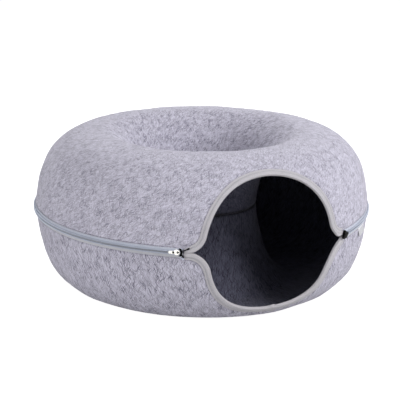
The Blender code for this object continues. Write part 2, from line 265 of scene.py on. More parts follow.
def bell(azimuth, centre, spread):
    """exp(-(d / spread)^2) of the angle d from the centre."""
    away = (azimuth - centre + 180) % 360 - 180
    return np.exp(-((away / spread) ** 2))


def unit(vectors):
    """The vectors, each drawn out or in to a length of 1."""
    return vectors / np.linalg.norm(vectors, axis=-1, keepdims=True)


def powered(values, power):
    """The values' sizes raised to a power, with their signs kept."""
    return np.sign(values) * np.abs(values) ** power


def lumps(points, length, seed, waves=14):
    """Sum of plane sine waves through space over the root of their number.

    Each has a random direction and phase, and about the given length.
    """
    random = np.random.default_rng(seed)
    directions = unit(random.normal(size=(waves, 3)))
    pace = 2 * math.pi / (length * random.uniform(0.7, 1.5, waves))
    phase = random.uniform(0, 2 * math.pi, waves)
    return np.sin((points @ directions.T) * pace + phase).sum(axis=-1) / math.sqrt(waves)


def section_quarter(seam_end, crest_end, power):
    """Superellipse quarter: radius goes as cos^(2/power), and height as sin^(2/power), of a quarter turn."""
    turn = np.linspace(0, math.pi / 2, SECTION_STEPS)
    radii = crest_end[0] + (seam_end[0] - crest_end[0]) * np.cos(turn) ** (2 / power)
    heights = seam_end[1] + (crest_end[1] - seam_end[1]) * np.sin(turn) ** (2 / power)
    return radii, heights


class Half:
    """One moulded half of the ring: its section, its outer face and its share of the opening."""

    def __init__(self, name):
        section = HALVES[name]
        self.name = name
        self.up, self.flat, self.bulge = section["up"], section["flat"], section["bulge"]
        self.tape, self.opening = section["tape"], OPENING[name]
        self.crest_height = HEIGHT if self.up > 0 else 0.0
        outer_end = (CREST_RADIUS + self.flat / 2, self.crest_height)
        outer = section_quarter((FELT_RADIUS, SEAM_HEIGHT), outer_end, section["power"])
        seam_end = (HOLE_RADIUS, SEAM_HEIGHT + self.up * GAP / 2)
        funnel = section_quarter(seam_end, (CREST_RADIUS - self.flat / 2, self.crest_height), FUNNEL_POWER)
        self.radii = np.concatenate([outer[0], funnel[0][::-1]])
        heights = np.concatenate([outer[1], funnel[1][::-1]])
        steps = np.hypot(np.diff(self.radii), np.diff(heights))
        self.runs = np.concatenate([[0], np.cumsum(steps)])
        self.levels = (heights - SEAM_HEIGHT) / (self.crest_height - SEAM_HEIGHT)
        self.crest_runs = self.runs[SECTION_STEPS - 1], self.runs[SECTION_STEPS]

    def radius(self, run):
        return np.interp(run, self.runs, self.radii)

    def face(self, azimuth, run):
        """The smooth outer face: the section turned round the axis, its zip line sagging, its rim flared.

        The zip line sinks by a bell of the azimuth and the rim's flare fades as a bell of the run. With
        the level from 0 at the zip line to 1 at the crest or base, the lower half bulges outwards by
        4 level (1 - level) times a bell of the azimuth.
        """
        azimuth, run = np.broadcast_arrays(azimuth, run)
        level = np.interp(run, self.runs, self.levels)
        outside = run < self.crest_runs[0]
        seam = SEAM_HEIGHT - outside * SEAM_SAG * bell(azimuth, SAG_SIDE, SAG_SPREAD)
        flare = RIM_FLARE + FLARE_SWING * np.cos(np.radians(azimuth - FLARE_SIDE))
        bulge = self.bulge * bell(azimuth, BULGE_SIDE, BULGE_SPREAD) * 4 * level * (1 - level)
        radius = self.radius(run) + outside * (flare * np.exp(-((run / FLARE_RUN) ** 2)) + bulge)
        height = seam + (self.crest_height - seam) * level
        turn = np.radians(azimuth)
        return np.stack([radius * np.sin(turn), AXIS_Y - radius * np.cos(turn), height], axis=-1)

    def directions(self, azimuth, run):
        """Unit vectors along the run, and outwards."""
        azimuth, run = np.broadcast_arrays(azimuth, run)
        turn = math.degrees(DIFFERENCE)
        along = self.face(azimuth + turn, run) - self.face(azimuth - turn, run)
        down = unit(self.face(azimuth, run + DIFFERENCE) - self.face(azimuth, run - DIFFERENCE))
        return down, self.up * unit(np.cross(along, down))

    def lifted(self, azimuth, run, lift):
        return self.face(azimuth, run) + self.directions(azimuth, run)[1] * np.asarray(lift)[..., None]

    def trim(self, segments):
        """Azimuths and runs along the cut edge, from the slit's left end to the box, closer where it turns.

        The opening is half a superellipse, across going as |cos|^(2/power) and above as sin^(2/power),
        and a quarter circle at each foot widens it into the slit.
        """
        shape = self.opening
        turn = np.linspace(0, math.pi, OUTLINE_STEPS)
        above = shape["reach"] * np.sin(turn) ** (2 / shape["power"])
        corner = np.where(turn < math.pi / 2, shape["left"], shape["right"])
        below_top = np.clip(corner - above, 0, None)
        across = shape["half_width"] * np.abs(np.cos(turn)) ** (2 / shape["power"])
        across += corner - np.sqrt(corner**2 - below_top**2)
        across = shape["lean"] * above / shape["reach"] - np.sign(np.cos(turn)) * across
        run = np.concatenate([[SLIT_EDGE], SLIT_EDGE + above])
        azimuth = np.concatenate([[SLIT_START], np.degrees(across / self.radius(SLIT_EDGE + above))])
        steps = np.radians(np.diff(azimuth)) * self.radius(run[1:]), np.diff(run)
        headings = np.unwrap(np.arctan2(steps[1], steps[0]))
        turning = np.abs(np.diff(headings, prepend=headings[0]))
        pace = np.concatenate([[0], np.cumsum(np.hypot(*steps) + TURN_PACE * turning)])
        even = np.linspace(0, np.interp(TRIM_END, azimuth, pace), segments + 1)
        return np.interp(even, pace, azimuth), np.interp(even, pace, run)

    def behind_trim(self, azimuth, run):
        """Azimuths and runs one trim row back from the cut edge, square to it."""
        along = np.gradient(np.radians(azimuth)) * self.radius(run)
        down = np.gradient(run)
        length = np.hypot(along, down)
        back = azimuth - np.degrees(TRIM_ROW * down / length / self.radius(run))
        return back, run + TRIM_ROW * along / length


# ---------------------------------------------------------------- meshes from whole arrays


def put_mesh(name, points, quads, finish, caps=(), uvs=None, masks=None, sharp=None):
    """A mesh object from arrays: points (n, 3), quads (m, 4), caps of any length, uvs {map: (m, 4, 2)}."""
    mesh = bpy.data.meshes.new(name)
    faces = quads.tolist() + [list(cap) for cap in caps]
    mesh.from_pydata(points.reshape(-1, 3), [], faces)
    for label, corners in (uvs or {}).items():
        layer = mesh.uv_layers.new(name=label)
        flat = np.zeros((len(mesh.loops), 2), np.float32)
        flat[: corners.size // 2] = corners.reshape(-1, 2)
        layer.data.foreach_set("uv", flat.ravel())
    for label, values in (masks or {}).items():
        layer = mesh.attributes.new(label, "FLOAT", "POINT")
        layer.data.foreach_set("value", np.ascontiguousarray(values, np.float32).ravel())
    mesh.materials.append(finish)
    mesh.shade_smooth()
    if sharp is not None:
        mesh.set_sharp_from_angle(angle=math.radians(sharp))
    mesh.validate()
    made = bpy.data.objects.new(name, mesh)
    bpy.context.scene.collection.objects.link(made)
    return made


def swept_quads(stations, corners, ring):
    """Corner numbers of the quads between neighbouring stations, round closed sections."""
    station = np.arange(stations if ring else stations - 1)[:, None] * corners
    far = (station + corners) % (stations * corners)
    corner = np.arange(corners)[None, :]
    beside = (corner + 1) % corners
    quads = [station + corner, station + beside, far + beside, far + corner]
    return np.stack(quads, axis=-1).reshape(-1, 4)


def volume_of(points, quads):
    """Signed volume: a third of the sum of each quad's middle times its normal."""
    a, b, c, d = (points[quads[:, k]] for k in range(4))
    normal = np.cross(c - a, d - b) / 2
    return float(np.einsum("ij,ij->", (a + b + c + d) / 4, normal)) / 3


def skin(name, sections, finish, ring=False, maps=None, masks=None, sharp=None):
    """A closed skin over an array of sections (stations, corners, 3), with its faces outwards.

    Each UV map is a grid one longer than the sections round the corners, and along a ring.
    """
    stations, corners = sections.shape[:2]
    points = sections.reshape(-1, 3)
    quads = swept_quads(stations, corners, ring)
    inside_out = ring and volume_of(points, quads) < 0
    if inside_out:
        quads = quads[:, ::-1]
    uvs = {}
    for label, grid in (maps or {}).items():
        near, far = grid[:-1], grid[1:]
        around = np.stack([near[:, :-1], near[:, 1:], far[:, 1:], far[:, :-1]], axis=2).reshape(-1, 4, 2)
        uvs[label] = around[:, ::-1] if inside_out else around
    caps = [] if ring else [range(corners)[::-1], range((stations - 1) * corners, stations * corners)]
    made = put_mesh(name, points, quads, finish, caps, uvs, masks, sharp)
    if caps:
        turn_outwards(made)
    return made


def turn_outwards(made):
    """Recalculates the faces of a small closed mesh outwards."""
    shape = bmesh.new()
    shape.from_mesh(made.data)
    bmesh.ops.recalc_face_normals(shape, faces=shape.faces)
    shape.to_mesh(made.data)
    shape.free()


def joined(made, *others):
    """One object from several, keeping the first one's name."""
    with bpy.context.temp_override(active_object=made, selected_editable_objects=[made, *others]):
        bpy.ops.object.join()
    return made


def length_along(points):
    """Distance along a path of points, from its start."""
    return np.concatenate([[0], np.cumsum(np.linalg.norm(np.diff(points, axis=0), axis=1))])


def points_at(places, along, path):
    """Points of a path at the given distances along it."""
    return np.stack([np.interp(places, along, path[:, k]) for k in range(3)], axis=-1)


def round_sections(core, radius, first, second, sides):
    """Circles round a core line: radius (first cos + second sin) of a whole turn, off each of its points."""
    turn = np.arange(sides) * 2 * math.pi / sides
    ways = first[:, None] * np.cos(turn)[None, :, None] + second[:, None] * np.sin(turn)[None, :, None]
    return core[:, None] + np.reshape(radius, (-1, 1, 1)) * ways


def strip_map(along, sections):
    """A map in metres of a closed strip: along it, and round its section by the mean length of each side."""
    sides = np.linalg.norm(np.diff(sections, axis=1, append=sections[:, :1]), axis=-1).mean(axis=0)
    around = np.concatenate([[0], np.cumsum(sides)])
    return np.stack(np.broadcast_arrays(along[:, None], around[None, :]), axis=-1)


# ---------------------------------------------------------------- materials


def srgb(red, green, blue):
    """Linear colour from 8-bit screen values."""
    return [((value / 255 + 0.055) / 1.055) ** 2.4 for value in (red, green, blue)] + [1]


class Nodes:
    """Short calls for a node tree: add a node, give its inputs values or links, and take an output."""

    def __init__(self, tree):
        self.tree = tree

    def feed(self, socket, value):
        """Links an input to a node's output, or sets it to a value."""
        if isinstance(value, bpy.types.NodeSocket):
            self.tree.links.new(value, socket)
        else:
            socket.default_value = value

    def add(self, kind, inputs=None, **settings):
        node = self.tree.nodes.new(kind)
        for name, value in settings.items():
            setattr(node, name, value)
        for key, value in (inputs or {}).items():
            self.feed(node.inputs[key], value)
        return node

    def math(self, operation, *values):
        return self.add("ShaderNodeMath", dict(enumerate(values)), operation=operation).outputs[0]

    def vector(self, operation, *values):
        return self.add("ShaderNodeVectorMath", dict(enumerate(values)), operation=operation).outputs[0]

    def turned(self, vector, sizes, turn=0.0, shift=(0, 0, 0)):
        """The vector turned back about Z and then divided by the sizes, for patterns that lie askew."""
        inputs = {"Vector": vector, "Scale": sizes, "Rotation": (0, 0, turn), "Location": shift}
        return self.add("ShaderNodeMapping", inputs, vector_type="TEXTURE").outputs[0]

    def noise(self, vector, pace, detail=2.0, rough=0.5):
        """Noise with so many cells a metre."""
        inputs = {"Vector": vector, "Scale": pace, "Detail": detail, "Roughness": rough}
        return self.add("ShaderNodeTexNoise", inputs).outputs[0]

    def remap(self, value, low, high, new_low=0.0, new_high=1.0):
        """The new low up to low, the new high from high, and an S-curve between them."""
        inputs = {"Value": value, "From Min": low, "From Max": high, "To Min": new_low, "To Max": new_high}
        return self.add("ShaderNodeMapRange", inputs, interpolation_type="SMOOTHSTEP").outputs[0]

    def mix(self, factor, first, second, blend="MIX"):
        node = self.add("ShaderNodeMix", data_type="RGBA", blend_type=blend)
        for socket, value in zip((node.inputs[0], node.inputs[6], node.inputs[7]), (factor, first, second)):
            self.feed(socket, value)
        return node.outputs[2]

    def bump(self, height, strength, distance):
        inputs = {"Height": height, "Strength": strength, "Distance": distance}
        return self.add("ShaderNodeBump", inputs).outputs[0]

    def group(self, tree, **inputs):
        node = self.add("ShaderNodeGroup", node_tree=tree)
        for key, value in inputs.items():
            self.feed(node.inputs[key], value)
        return node

    def attribute(self, name):
        return self.add("ShaderNodeAttribute", attribute_name=name).outputs["Fac"]

    def object_place(self):
        """The place on the piece, in metres."""
        return self.add("ShaderNodeTexCoord").outputs["Object"]


def new_group(name, inputs, outputs):
    """An empty shader node group; inputs {name: (kind, value)}, outputs {name: kind}."""
    tree = bpy.data.node_groups.new(name, "ShaderNodeTree")
    for label, (kind, value) in inputs.items():
        socket = tree.interface.new_socket(label, in_out="INPUT", socket_type="NodeSocket" + kind)
        if value is not None:
            socket.default_value = value
    for label, kind in outputs.items():
        tree.interface.new_socket(label, in_out="OUTPUT", socket_type="NodeSocket" + kind)
    nodes = Nodes(tree)
    return tree, nodes, nodes.add("NodeGroupInput").outputs, nodes.add("NodeGroupOutput").inputs


def new_material(name, colour, roughness, metallic=0.0, **uniform):
    """A Principled material; uniform values go on the shader's own sockets."""
    made = bpy.data.materials.new(name)
    made.use_nodes = True
    made.node_tree.nodes.clear()
    nodes = Nodes(made.node_tree)
    shader = nodes.add("ShaderNodeBsdfPrincipled")
    output = nodes.add("ShaderNodeOutputMaterial")
    made.node_tree.links.new(shader.outputs[0], output.inputs[0])
    shader.inputs["Base Color"].default_value = colour
    shader.inputs["Roughness"].default_value = roughness
    shader.inputs["Metallic"].default_value = metallic
    for key, value in uniform.items():
        shader.inputs[key.replace("_", " ")].default_value = value
    return made, nodes, shader


# turn of the strokes from the map's first axis, in degrees, their length and width, and a shift that
# keeps the layers apart; most lie along the map's second axis, which is 90
STROKES = [
    (90, 0.0140, 0.00080, 3.1),
    (76, 0.0120, 0.00078, 9.7),
    (104, 0.0120, 0.00080, 5.3),
    (52, 0.0090, 0.00080, 1.9),
    (140, 0.0075, 0.00080, 7.4),
]
DARK_CUT, DARK_FULL = 0.63, 0.74
LIGHT_CUT, LIGHT_FULL = 0.38, 0.27
# cells a metre of the noises that bend the strokes, gather them in patches, and shift the felt's tone
# slowly and grain by grain
CURL_PACE, PATCH_PACE, TONE_PACE, GRAIN_PACE = 150.0, 68.0, 22.0, 780.0
CURL_REACH = 0.0014
PATCH_SHIFT = (1.3, 0.2, 0)
COVER_CUT, COVER_FULL = 0.38, 0.60
COVER_LEAST, COVER_GAIN = 0.5, 0.42


def strand_field():
    """Felt fibres on the developed felt.

    Strokes are long thin cells of noise past a threshold, turned several ways, on a place that is
    itself bent by finer noise, and they thin out where a slow noise is low.
    """
    tree, nodes, given, result = new_group(
        "felt strands",
        {"Vector": ("Vector", None)},
        {"Dark": "Float", "Light": "Float", "Patch": "Float", "Height": "Float"},
    )
    bend = nodes.add("ShaderNodeTexNoise", {"Vector": given[0], "Scale": CURL_PACE, "Detail": 1.0})
    bend = nodes.vector("SUBTRACT", bend.outputs["Color"], (0.5, 0.5, 0.5))
    bend = nodes.vector("MULTIPLY", bend, (2 * CURL_REACH, 2 * CURL_REACH, 0.0))
    place = nodes.vector("ADD", given[0], bend)
    dark, light, height = 0.0, 0.0, 0.0
    for turn, length, width, shift in STROKES:
        cells = nodes.turned(place, (length, width, 1), math.radians(turn), (shift, 2 * shift, shift))
        value = nodes.noise(cells, 1.0, 0.0)
        dark = nodes.math("MAXIMUM", dark, nodes.remap(value, DARK_CUT, DARK_FULL))
        light = nodes.math("MAXIMUM", light, nodes.remap(value, LIGHT_CUT, LIGHT_FULL))
        height = nodes.math("ADD", height, value)
    patch = nodes.noise(nodes.vector("ADD", place, PATCH_SHIFT), PATCH_PACE, 3.0, 0.6)
    cover = nodes.remap(patch, COVER_CUT, COVER_FULL)
    cover = nodes.math("MULTIPLY_ADD", cover, COVER_GAIN, COVER_LEAST)
    dark = nodes.math("MULTIPLY", dark, cover)
    for name, value in (("Dark", dark), ("Light", light), ("Patch", patch), ("Height", height)):
        nodes.feed(result[name], value)
    return tree


FELT_PALE = (198, 195, 211)
FELT_MID = (192, 189, 205)
FELT_CLOUD = (184, 181, 197)
FIBRE_LIGHT = (226, 224, 237)
FIBRE_DARK = (98, 95, 112)
GRAIN_DARK = (128, 125, 141)
# shares of clouds, light fibres and dark fibres on the upper half and on the lower half
CLOUDING = (0.8, 0.2)
LIGHT_SHARE = (0.60, 0.56)
DARK_SHARE = (0.78, 0.98)
FUNNEL_DARK = 0.16  # more dark fibres in the funnel
GRAIN_SHARE = 0.20
TONE_CUT, TONE_FULL = 0.3, 0.7
CLOUD_CUT, CLOUD_FULL = 0.38, 0.66
FELT_BUMP = 0.0006
FIBRE_RISE, GRAIN_RISE = 0.35, 0.6
# painted shade: the inner face's colour is multiplied by this, as the inside of the tube lies in shade
INSIDE_SHADE_TINT = (0.32, 0.33, 0.39, 1)
# painted shade beside the sewn edges of the tape and binding
CREASE_SHADE_TINT = (0.72, 0.71, 0.73, 1)
# painted shade, near black, in the gap at the inner seam
SEAM_SHADE_TINT = (0.03, 0.03, 0.03, 1)


def felt_material(strands):
    """Melange felt: pale lavender grey with darker and lighter fibres, more of them in patches.

    Shade is painted on its inner face, on the creases along the sewn edges and on the inner seam, which are
    darker.
    """
    made, nodes, shader = new_material(
        "melange felt",
        srgb(*FELT_MID),
        0.95,
        Specular_IOR_Level=0.1,
        Sheen_Weight=0.12,
        Sheen_Roughness=0.6,
    )
    wide, near = (
        nodes.group(strands, Vector=nodes.add("ShaderNodeUVMap", uv_map=name).outputs[0])
        for name in ("outside", "funnel")
    )
    share, inside, painted_crease_shade, seam, lower = (
        nodes.attribute(name) for name in ("funnel_share", "inside", "painted_crease_shade", "inner_seam_shade", "lower_half")
    )

    def both(name):
        node = nodes.add("ShaderNodeMix", data_type="FLOAT")
        for key, value in ((0, share), (2, wide.outputs[name]), (3, near.outputs[name])):
            nodes.feed(node.inputs[key], value)
        return node.outputs[0]

    dark, light, patch, height = (both(name) for name in ("Dark", "Light", "Patch", "Height"))
    place = nodes.object_place()
    tone = nodes.remap(nodes.noise(place, TONE_PACE, 3.0, 0.6), TONE_CUT, TONE_FULL)
    grain = nodes.remap(nodes.noise(place, GRAIN_PACE, 2.0, 0.7), TONE_CUT, TONE_FULL)
    clouding, light_share, dark_share = (
        nodes.remap(lower, 0, 1, *shares) for shares in (CLOUDING, LIGHT_SHARE, DARK_SHARE)
    )
    dark_share = nodes.math("MULTIPLY_ADD", share, FUNNEL_DARK, dark_share)
    clouds = nodes.math("MULTIPLY", nodes.remap(patch, CLOUD_CUT, CLOUD_FULL), clouding)
    light = nodes.math("MULTIPLY", light, nodes.math("MAXIMUM", light_share, inside))
    dark = nodes.math("MULTIPLY", dark, nodes.math("MAXIMUM", dark_share, inside))
    body = nodes.mix(tone, srgb(*FELT_MID), srgb(*FELT_PALE))
    body = nodes.mix(clouds, body, srgb(*FELT_CLOUD))
    body = nodes.mix(nodes.math("MULTIPLY", grain, GRAIN_SHARE), body, srgb(*GRAIN_DARK))
    body = nodes.mix(light, body, srgb(*FIBRE_LIGHT))
    body = nodes.mix(dark, body, srgb(*FIBRE_DARK))
    # painted shade: the inner face, the strips beside the sewn edges and the inner seam are darkened
    for mask, tint in ((inside, INSIDE_SHADE_TINT), (painted_crease_shade, CREASE_SHADE_TINT), (seam, SEAM_SHADE_TINT)):
        body = nodes.mix(mask, body, tint, "MULTIPLY")
    nodes.feed(shader.inputs["Base Color"], body)
    rise = nodes.math("MULTIPLY_ADD", grain, GRAIN_RISE, nodes.math("MULTIPLY", height, FIBRE_RISE))
    nodes.feed(shader.inputs["Normal"], nodes.bump(rise, 0.5, FELT_BUMP))
    return made


WEAVE_RIB, WEAVE_PICK = 0.3, 0.2  # heights of warp and weft
FUZZ_PACE = 900.0
# painted shade: the colour that each piece's shade mask multiplies in
PAINTED_SHADE_TINT = (0.57, 0.57, 0.59, 1)
CLOTH_CLOUD_PACE = 55.0
CLOTH_CLOUD = (0.45, 0.75, 0.0, 0.35)  # where the noise starts and ends to count, and its shares there
CLOTH_BUMP = 0.4  # of the weave's pitch


def weave_group():
    """Woven cloth from a UV map in metres: warp and weft as crossed sine ridges.

    The warp's phase shifts with the way across, by the slant, which turns plain ribs to a twill.
    """
    tree, nodes, given, result = new_group(
        "woven cloth",
        {"Vector": ("Vector", None), "Pitch": ("Float", 0.0006), "Slant": ("Float", 0.5)},
        {"Height": "Float", "Tone": "Float"},
    )
    parts = nodes.add("ShaderNodeSeparateXYZ", {"Vector": given["Vector"]}).outputs
    along, across = (nodes.math("DIVIDE", part, given["Pitch"]) for part in parts[:2])
    slanted = nodes.math("MULTIPLY_ADD", across, given["Slant"], along)
    rib, pick = (nodes.math("SINE", nodes.math("MULTIPLY", way, 2 * math.pi)) for way in (slanted, across))
    ridges = nodes.math("MULTIPLY_ADD", rib, WEAVE_RIB, nodes.math("MULTIPLY", pick, WEAVE_PICK))
    height = nodes.math("ADD", ridges, nodes.noise(given["Vector"], FUZZ_PACE, 2.0, 0.6))
    nodes.feed(result["Height"], height)
    nodes.feed(result["Tone"], nodes.remap(height, 0.0, 1.0))
    return tree


def cloth_material(name, weave, light, dark, pitch, slant, roughness):
    """Narrow woven cloth: two tones by the weave, clouded a little along its length, and darkened by painted
    shade where its shade mask is set.
    """
    made, nodes, shader = new_material(name, light, roughness, Specular_IOR_Level=0.25, Sheen_Weight=0.15)
    place = nodes.add("ShaderNodeUVMap", uv_map="cloth").outputs[0]
    cloth = nodes.group(weave, Vector=place, Pitch=pitch, Slant=slant)
    cloud = nodes.noise(nodes.object_place(), CLOTH_CLOUD_PACE, 3.0, 0.6)
    colour = nodes.mix(cloth.outputs["Tone"], dark, light)
    colour = nodes.mix(nodes.remap(cloud, *CLOTH_CLOUD), colour, dark)
    # painted shade where the piece's shade mask is set
    colour = nodes.mix(nodes.attribute("painted_shade"), colour, PAINTED_SHADE_TINT, "MULTIPLY")
    nodes.feed(shader.inputs["Base Color"], colour)
    nodes.feed(shader.inputs["Normal"], nodes.bump(cloth.outputs["Height"], 0.5, pitch * CLOTH_BUMP))
    return made


WEAR_PACE = 160.0
SCRATCH_CELL = (0.0011, 0.0083, 0.0014)
SCRATCH_TURN = 0.3
SCRATCH_CUT, SCRATCH_FULL = 0.56, 0.66
WEAR_CUT, WEAR_FULL = 0.4, 0.65


def worn_group():
    """Fine uneven marks for hard pieces: thin scratches, strongest in clouds, as a mask and a height."""
    tree, nodes, given, result = new_group(
        "wear and grain",
        {"Vector": ("Vector", None), "Grain": ("Float", 900.0)},
        {"Marks": "Float", "Height": "Float"},
    )
    cloud = nodes.noise(given["Vector"], WEAR_PACE, 3.0, 0.6)
    fine = nodes.noise(given["Vector"], given["Grain"], 2.0, 0.6)
    scratch = nodes.noise(nodes.turned(given["Vector"], SCRATCH_CELL, SCRATCH_TURN), 1.0, 2.0, 0.5)
    scratch = nodes.remap(scratch, SCRATCH_CUT, SCRATCH_FULL)
    marks = nodes.math("MULTIPLY", scratch, nodes.remap(cloud, WEAR_CUT, WEAR_FULL))
    nodes.feed(result["Marks"], marks)
    nodes.feed(result["Height"], nodes.math("MULTIPLY_ADD", fine, 0.6, marks))
    return tree


def hard_material(name, wear, colour, worn_colour, roughness, worn_roughness, metallic, grain, depth, shine):
    """Plastic or plated metal: its colour and gloss shift along light scratches and handling marks, and
    painted shade darkens it where its shade mask is set.
    """
    made, nodes, shader = new_material(name, colour, roughness, metallic, Specular_IOR_Level=shine)
    marks = nodes.group(wear, Vector=nodes.object_place(), Grain=grain).outputs
    tone = nodes.mix(marks["Marks"], colour, worn_colour)
    # painted shade where the piece's shade mask is set
    tone = nodes.mix(nodes.attribute("painted_shade"), tone, PAINTED_SHADE_TINT, "MULTIPLY")
    nodes.feed(shader.inputs["Base Color"], tone)
    nodes.feed(shader.inputs["Roughness"], nodes.remap(marks["Marks"], 0.0, 1.0, roughness, worn_roughness))
    nodes.feed(shader.inputs["Normal"], nodes.bump(marks["Height"], 0.3, depth))
    return made


CLOTHS = {
    # pale and dark tone, pitch of the weave, its slant and the roughness
    "binding": ((207, 204, 209), (167, 164, 170), 0.0011, 0.0, 0.85),
    # one tape in both halves: the upper one is painted lighter and bluer for the light that falls on it from
    # above
    "upper_tape": ((212, 216, 230), (182, 187, 203), 0.0008, 0.6, 0.85),
    "lower_tape": ((204, 204, 210), (178, 178, 186), 0.0008, 0.6, 0.85),
    "label": ((243, 243, 245), (226, 226, 229), 0.0004, 0.0, 0.7),
    "thread": ((206, 207, 214), (172, 174, 184), 0.0005, 0.8, 0.85),
}
HARD = {
    # colour and worn colour, roughness and worn roughness, metallic, grain, depth of the marks, shine
    "coil": ((197, 203, 218), (170, 178, 197), 0.45, 0.6, 0.0, 1200.0, 0.00003, 0.4),
    "silver": ((240, 238, 233), (196, 194, 188), 0.22, 0.4, 1.0, 700.0, 0.00004, 0.5),
    "black": ((3, 3, 4), (12, 12, 14), 0.4, 0.6, 0.0, 1500.0, 0.00004, 0.06),
}


def make_materials():
    """The finishes by name: felt, the narrow cloths and the hard ones."""
    weave, wear = weave_group(), worn_group()
    made = {"felt": felt_material(strand_field())}
    for name, (light, dark, *rest) in CLOTHS.items():
        label = name.replace("_", " ") + " cloth"
        made[name] = cloth_material(label, weave, srgb(*light), srgb(*dark), *rest)
    for name, (colour, worn, *rest) in HARD.items():
        made[name] = hard_material(f"{name} finish", wear, srgb(*colour), srgb(*worn), *rest)
    return made


# ---------------------------------------------------------------- the felt


def shell_columns(half):
    """Azimuths and runs of the columns' first two rows, and the azimuths that they reach at the crest."""
    trim_azimuth, trim_run = half.trim(TRIM_COLUMNS)
    back_azimuth, back_run = half.behind_trim(trim_azimuth, trim_run)
    zip_azimuth = np.linspace(ZIP_START, ZIP_END, ZIP_COLUMNS + 1)
    rim_run = np.full(ZIP_COLUMNS + 1, SLIT_EDGE)
    edge = np.stack([np.append(trim_azimuth, zip_azimuth), np.append(trim_run, rim_run)])
    second = np.stack([np.append(back_azimuth, zip_azimuth), np.append(back_run, rim_run + TRIM_ROW)])
    step = (360 - 2 * CREST_FAN) / (ZIP_COLUMNS + 2)
    opening_fan = np.linspace(-CREST_FAN, CREST_FAN, TRIM_COLUMNS + 1)
    zip_fan = np.linspace(CREST_FAN + step, 360 - CREST_FAN - step, ZIP_COLUMNS + 1)
    return edge, second, np.append(opening_fan, zip_fan)


def felt_lift(half, azimuth, run, points, from_trim):
    """How far the felt stands off the smooth face.

    Soft lumps and dimples, faded out by the binding, the zip tape, the inner seam and the flat base,
    plus a swell over the tape's sewn edge that rises as an S-curve of the run and falls off as a bell.
    """
    level = np.interp(run, half.runs, half.levels)
    clear = smooth(TRIM_ROW, LUMP_CLEAR * TRIM_ROW, from_trim)
    clear = clear * smooth(half.tape, LUMP_CLEAR * half.tape, run)
    clear = clear * smooth(0, HOLE_FADE, half.runs[-1] - run)
    if half.flat:
        clear = clear * (1 - smooth(*BASE_FADE, level))
    waves = LUMP * lumps(points, LUMP_LENGTH, LUMP_SEED)
    waves = waves + DIMPLE * lumps(points, DIMPLE_LENGTH, DIMPLE_SEED, DIMPLE_WAVES)
    past_tape = run - half.tape - GAP
    clear_of_trim = smooth(*SWELL_CLEAR, from_trim / TRIM_ROW)
    swell = SWELL * swelling(past_tape) * beside_zip(azimuth, *ZIP_FADE) * clear_of_trim
    past_trim = from_trim - BINDING_WIDTH - GAP
    return waves * clear + np.maximum(swell, TRIM_SWELL * swelling(past_trim) * (run < half.crest_runs[0]))


def beside_zip(azimuth, before, after):
    """1 along the zip, falling off round its ends as an S-curve between these angles before and after."""
    around = azimuth % 360
    started = smooth(ZIP_START - before, ZIP_START + after, around)
    return started * (1 - smooth(ZIP_END - after, ZIP_END + before, around))


def swelling(past):
    """Rise from a sewn edge: an S-curve times a wide bell of the distance past it."""
    return smooth(0, SWELL_RISE, past) * np.exp(-((np.clip(past, 0, None) / SWELL_FALL) ** 2))


def crease_shade(half, azimuth, run, from_trim):
    """How much shade is painted on the felt beside a sewn edge: a narrow bell of the distance past it."""
    by_tape = np.exp(-(((run - half.tape - GAP) / CREASE_SHADE_WIDTH) ** 2)) * beside_zip(azimuth, CREASE_SHADE_FADE, 0)
    by_trim = np.exp(-(((from_trim - BINDING_WIDTH - GAP) / CREASE_SHADE_WIDTH) ** 2))
    return np.maximum(by_tape, by_trim)


def fibre_map(half, turn, run, radius):
    """A map of the felt, turned so that most fibres lie along its second axis.

    It has the outer rows, the inner ones moved aside, and the closing edge; a whole turn of the ring
    adds the same step to every row.
    """
    way, longer = FIBRE_LAY[half.name]
    aside = math.radians(90 - way)
    axes = np.array([[math.cos(aside), math.sin(aside)], [-math.sin(aside), math.cos(aside)]])
    axes[:, 1] /= longer
    there = np.stack([turn * radius, run + LOWER_SHIFT * (half.up < 0)], axis=-1) @ axes
    back = there[::-1] + [INNER_SHIFT, 0]
    columns = np.concatenate([there, back, back[-1:]]).transpose(1, 0, 2)
    return np.concatenate([columns, columns[:1] + 2 * math.pi * radius * axes[0]])


